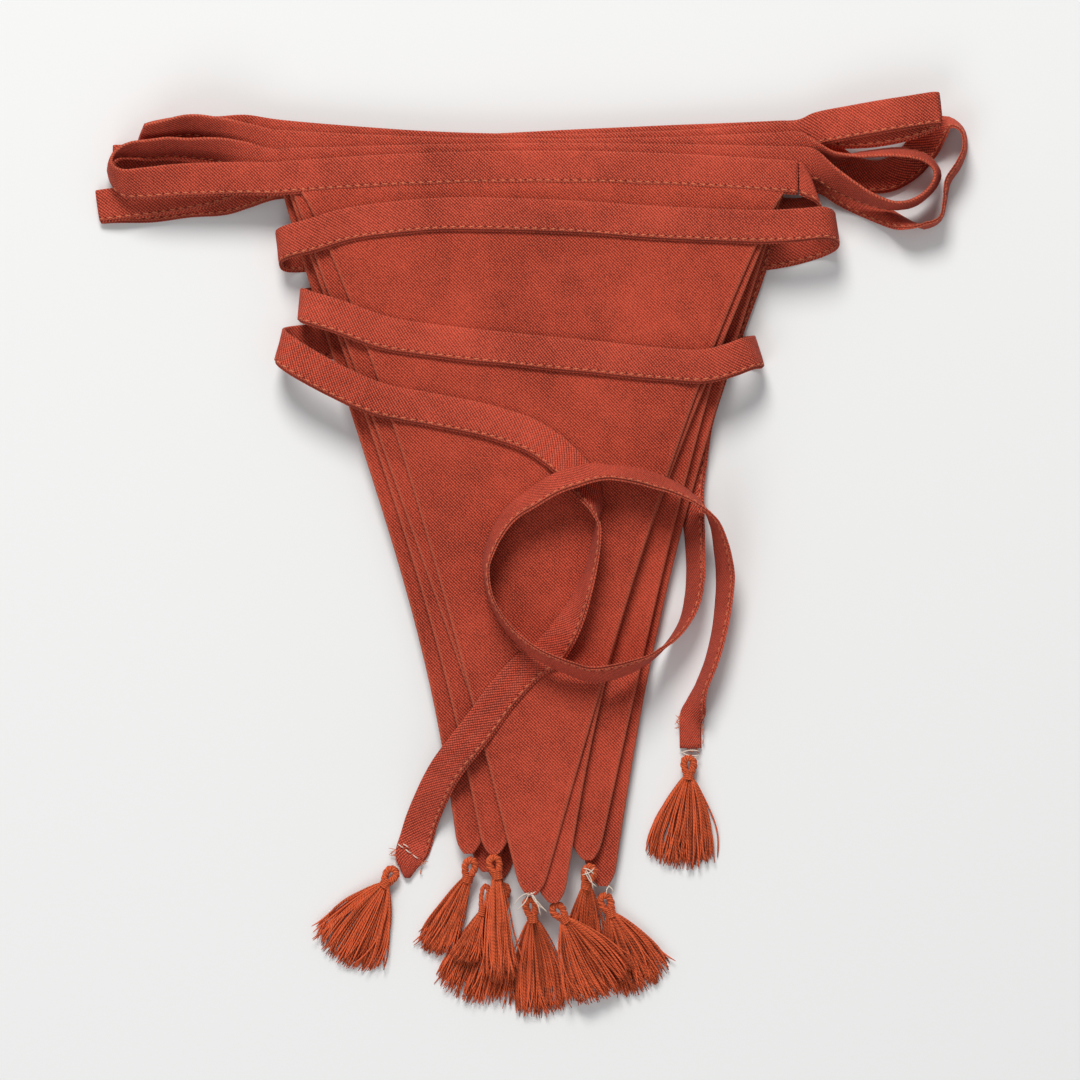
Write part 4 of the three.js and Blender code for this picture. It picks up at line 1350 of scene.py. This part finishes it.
class MakeFrays(bpy.types.Operator):
    """Draw out the loose fibres at the tape's cut ends"""

    bl_idname = "bunting.make_frays"
    bl_label = "Make Frayed Ends"

    def execute(self, context):
        settings = context.scene.bunting
        wander = random.Random(FRAY_SEED)
        for piece in sorted({row[0] for row in FRAYS}):
            paths = []
            for _, x, y, z, aim, width, count, length in (row for row in FRAYS if row[0] == piece):
                ahead = math.radians(aim)
                side = np.array([-math.sin(ahead), math.cos(ahead), 0])
                for _ in range(count):
                    turn = ahead + wander.gauss(0, FRAY_TURN)
                    root = np.array([x, y, z]) + side * wander.uniform(-0.5, 0.5) * width
                    reach = length * wander.uniform(*FRAY_REACHES)
                    curl = wander.gauss(0, FRAY_CURL)
                    path = []
                    for t in np.linspace(0, 1, FRAY_POINTS):
                        bent = turn + curl * t
                        way = np.array([math.cos(bent), math.sin(bent), -FRAY_FALL * t])
                        path.append(root + reach * t * way)
                    paths.append(path)
            bm = bmesh.new()
            lay_threads(bm, paths, FRAY_RADIUS, sides=4)
            finish_piece(bm, piece, sewing_thread(settings))
        return {"FINISHED"}


# The stage. The camera frames a square of the floor as the photo does, in millimetres; the lights'
# places and sizes are in metres.

PHOTO_SIDE = 345.6
PHOTO_MIDDLE = (3.2, 5.44)
PHOTO_HEIGHT = 10.0
SENSOR = 36.0
FAR_LIMIT = 20.0
FLOOR_SIZE = 3.0
WINDOW_PLACE = (-0.3, 1.75, 1.75)
WINDOW_SIZE = 1.0
WINDOW_COLOUR = (1.0, 0.99, 0.97)
FILL_PLACE = (-0.7, -1.2, 1.4)
FILL_SIZE = 1.4
FILL_SHARE = 0.17
FILL_COLOUR = (0.97, 0.98, 1.0)
ROOM_COLOUR = (0.98, 0.99, 1.0, 1.0)
ROOM_STRENGTH = 0.36


def aim_light(name, place, size, power, colour):
    """A round soft light that points at the middle of the floor"""
    light = bpy.data.lights.new(name, "AREA")
    light.shape = "DISK"
    light.size = size
    light.energy = power
    light.color = colour
    lamp = bpy.data.objects.new(name, light)
    lamp.location = place
    lamp.rotation_euler = (-Vector(place)).to_track_quat("-Z", "Y").to_euler()
    bpy.context.scene.collection.objects.link(lamp)


class SetStage(bpy.types.Operator):
    """Set the plain floor, the soft light and the camera straight above"""

    bl_idname = "bunting.set_stage"
    bl_label = "Set Stage"

    def execute(self, context):
        stage = context.scene.bunting_stage
        bm = bmesh.new()
        bmesh.ops.create_grid(bm, x_segments=8, y_segments=8, size=FLOOR_SIZE)
        mesh = bpy.data.meshes.new("floor")
        bm.to_mesh(mesh)
        bm.free()
        floor = bpy.data.objects.new("floor", mesh)
        context.scene.collection.objects.link(floor)
        finish = Finish("pale_floor", 0.9)
        finish.shader.inputs["Base Color"].default_value = (*stage.floor_colour, 1.0)
        mesh.materials.append(finish.material)

        power = stage.window_power
        aim_light("window", WINDOW_PLACE, WINDOW_SIZE, power, WINDOW_COLOUR)
        aim_light("fill", FILL_PLACE, FILL_SIZE, power * FILL_SHARE, FILL_COLOUR)
        world = bpy.data.worlds.new("soft_room")
        world.use_nodes = True
        world.node_tree.nodes["Background"].inputs["Color"].default_value = ROOM_COLOUR
        world.node_tree.nodes["Background"].inputs["Strength"].default_value = ROOM_STRENGTH
        context.scene.world = world

        camera = bpy.data.cameras.new("camera")
        camera.sensor_width = SENSOR
        camera.lens = SENSOR * (stage.camera_height / MM - PHOTO_HEIGHT) / PHOTO_SIDE
        camera.clip_end = FAR_LIMIT
        stand = bpy.data.objects.new("camera", camera)
        stand.location = (PHOTO_MIDDLE[0] * MM, PHOTO_MIDDLE[1] * MM, stage.camera_height)
        context.scene.collection.objects.link(stand)
        context.scene.camera = stand
        context.scene.view_settings.view_transform = "Standard"
        return {"FINISHED"}


class BuntingPanel(bpy.types.Panel):
    """The bunting's sizes and colours, and its makers in the order in which they are used"""

    bl_label = "Folded Bunting"
    bl_idname = "VIEW3D_PT_bunting"
    bl_space_type = "VIEW_3D"
    bl_region_type = "UI"
    bl_category = "Bunting"

    def draw(self, context):
        for group in (context.scene.bunting, context.scene.bunting_stage):
            box = self.layout.box()
            for name in group.bl_rna.properties.keys():
                if name not in ("name", "rna_type"):
                    box.prop(group, name)
        for operator in MAKERS:
            self.layout.operator(operator.bl_idname)


MAKERS = (MakeFlags, MakeTape, MakeTassels, MakeWhiteThreads, MakeFrays, SetStage)
CLASSES = (BuntingSettings, BuntingStage, *MAKERS, BuntingPanel)


def register():
    for part in CLASSES:
        bpy.utils.register_class(part)
    bpy.types.Scene.bunting = bpy.props.PointerProperty(type=BuntingSettings)
    bpy.types.Scene.bunting_stage = bpy.props.PointerProperty(type=BuntingStage)


def unregister():
    del bpy.types.Scene.bunting
    del bpy.types.Scene.bunting_stage
    for part in reversed(CLASSES):
        bpy.utils.unregister_class(part)


def main():
    register()
    bpy.ops.bunting.make_flags()
    bpy.ops.bunting.make_tape()
    bpy.ops.bunting.make_tassels()
    bpy.ops.bunting.make_white_threads()
    bpy.ops.bunting.make_frays()
    bpy.ops.bunting.set_stage()


if __name__ == "__main__":
    main()
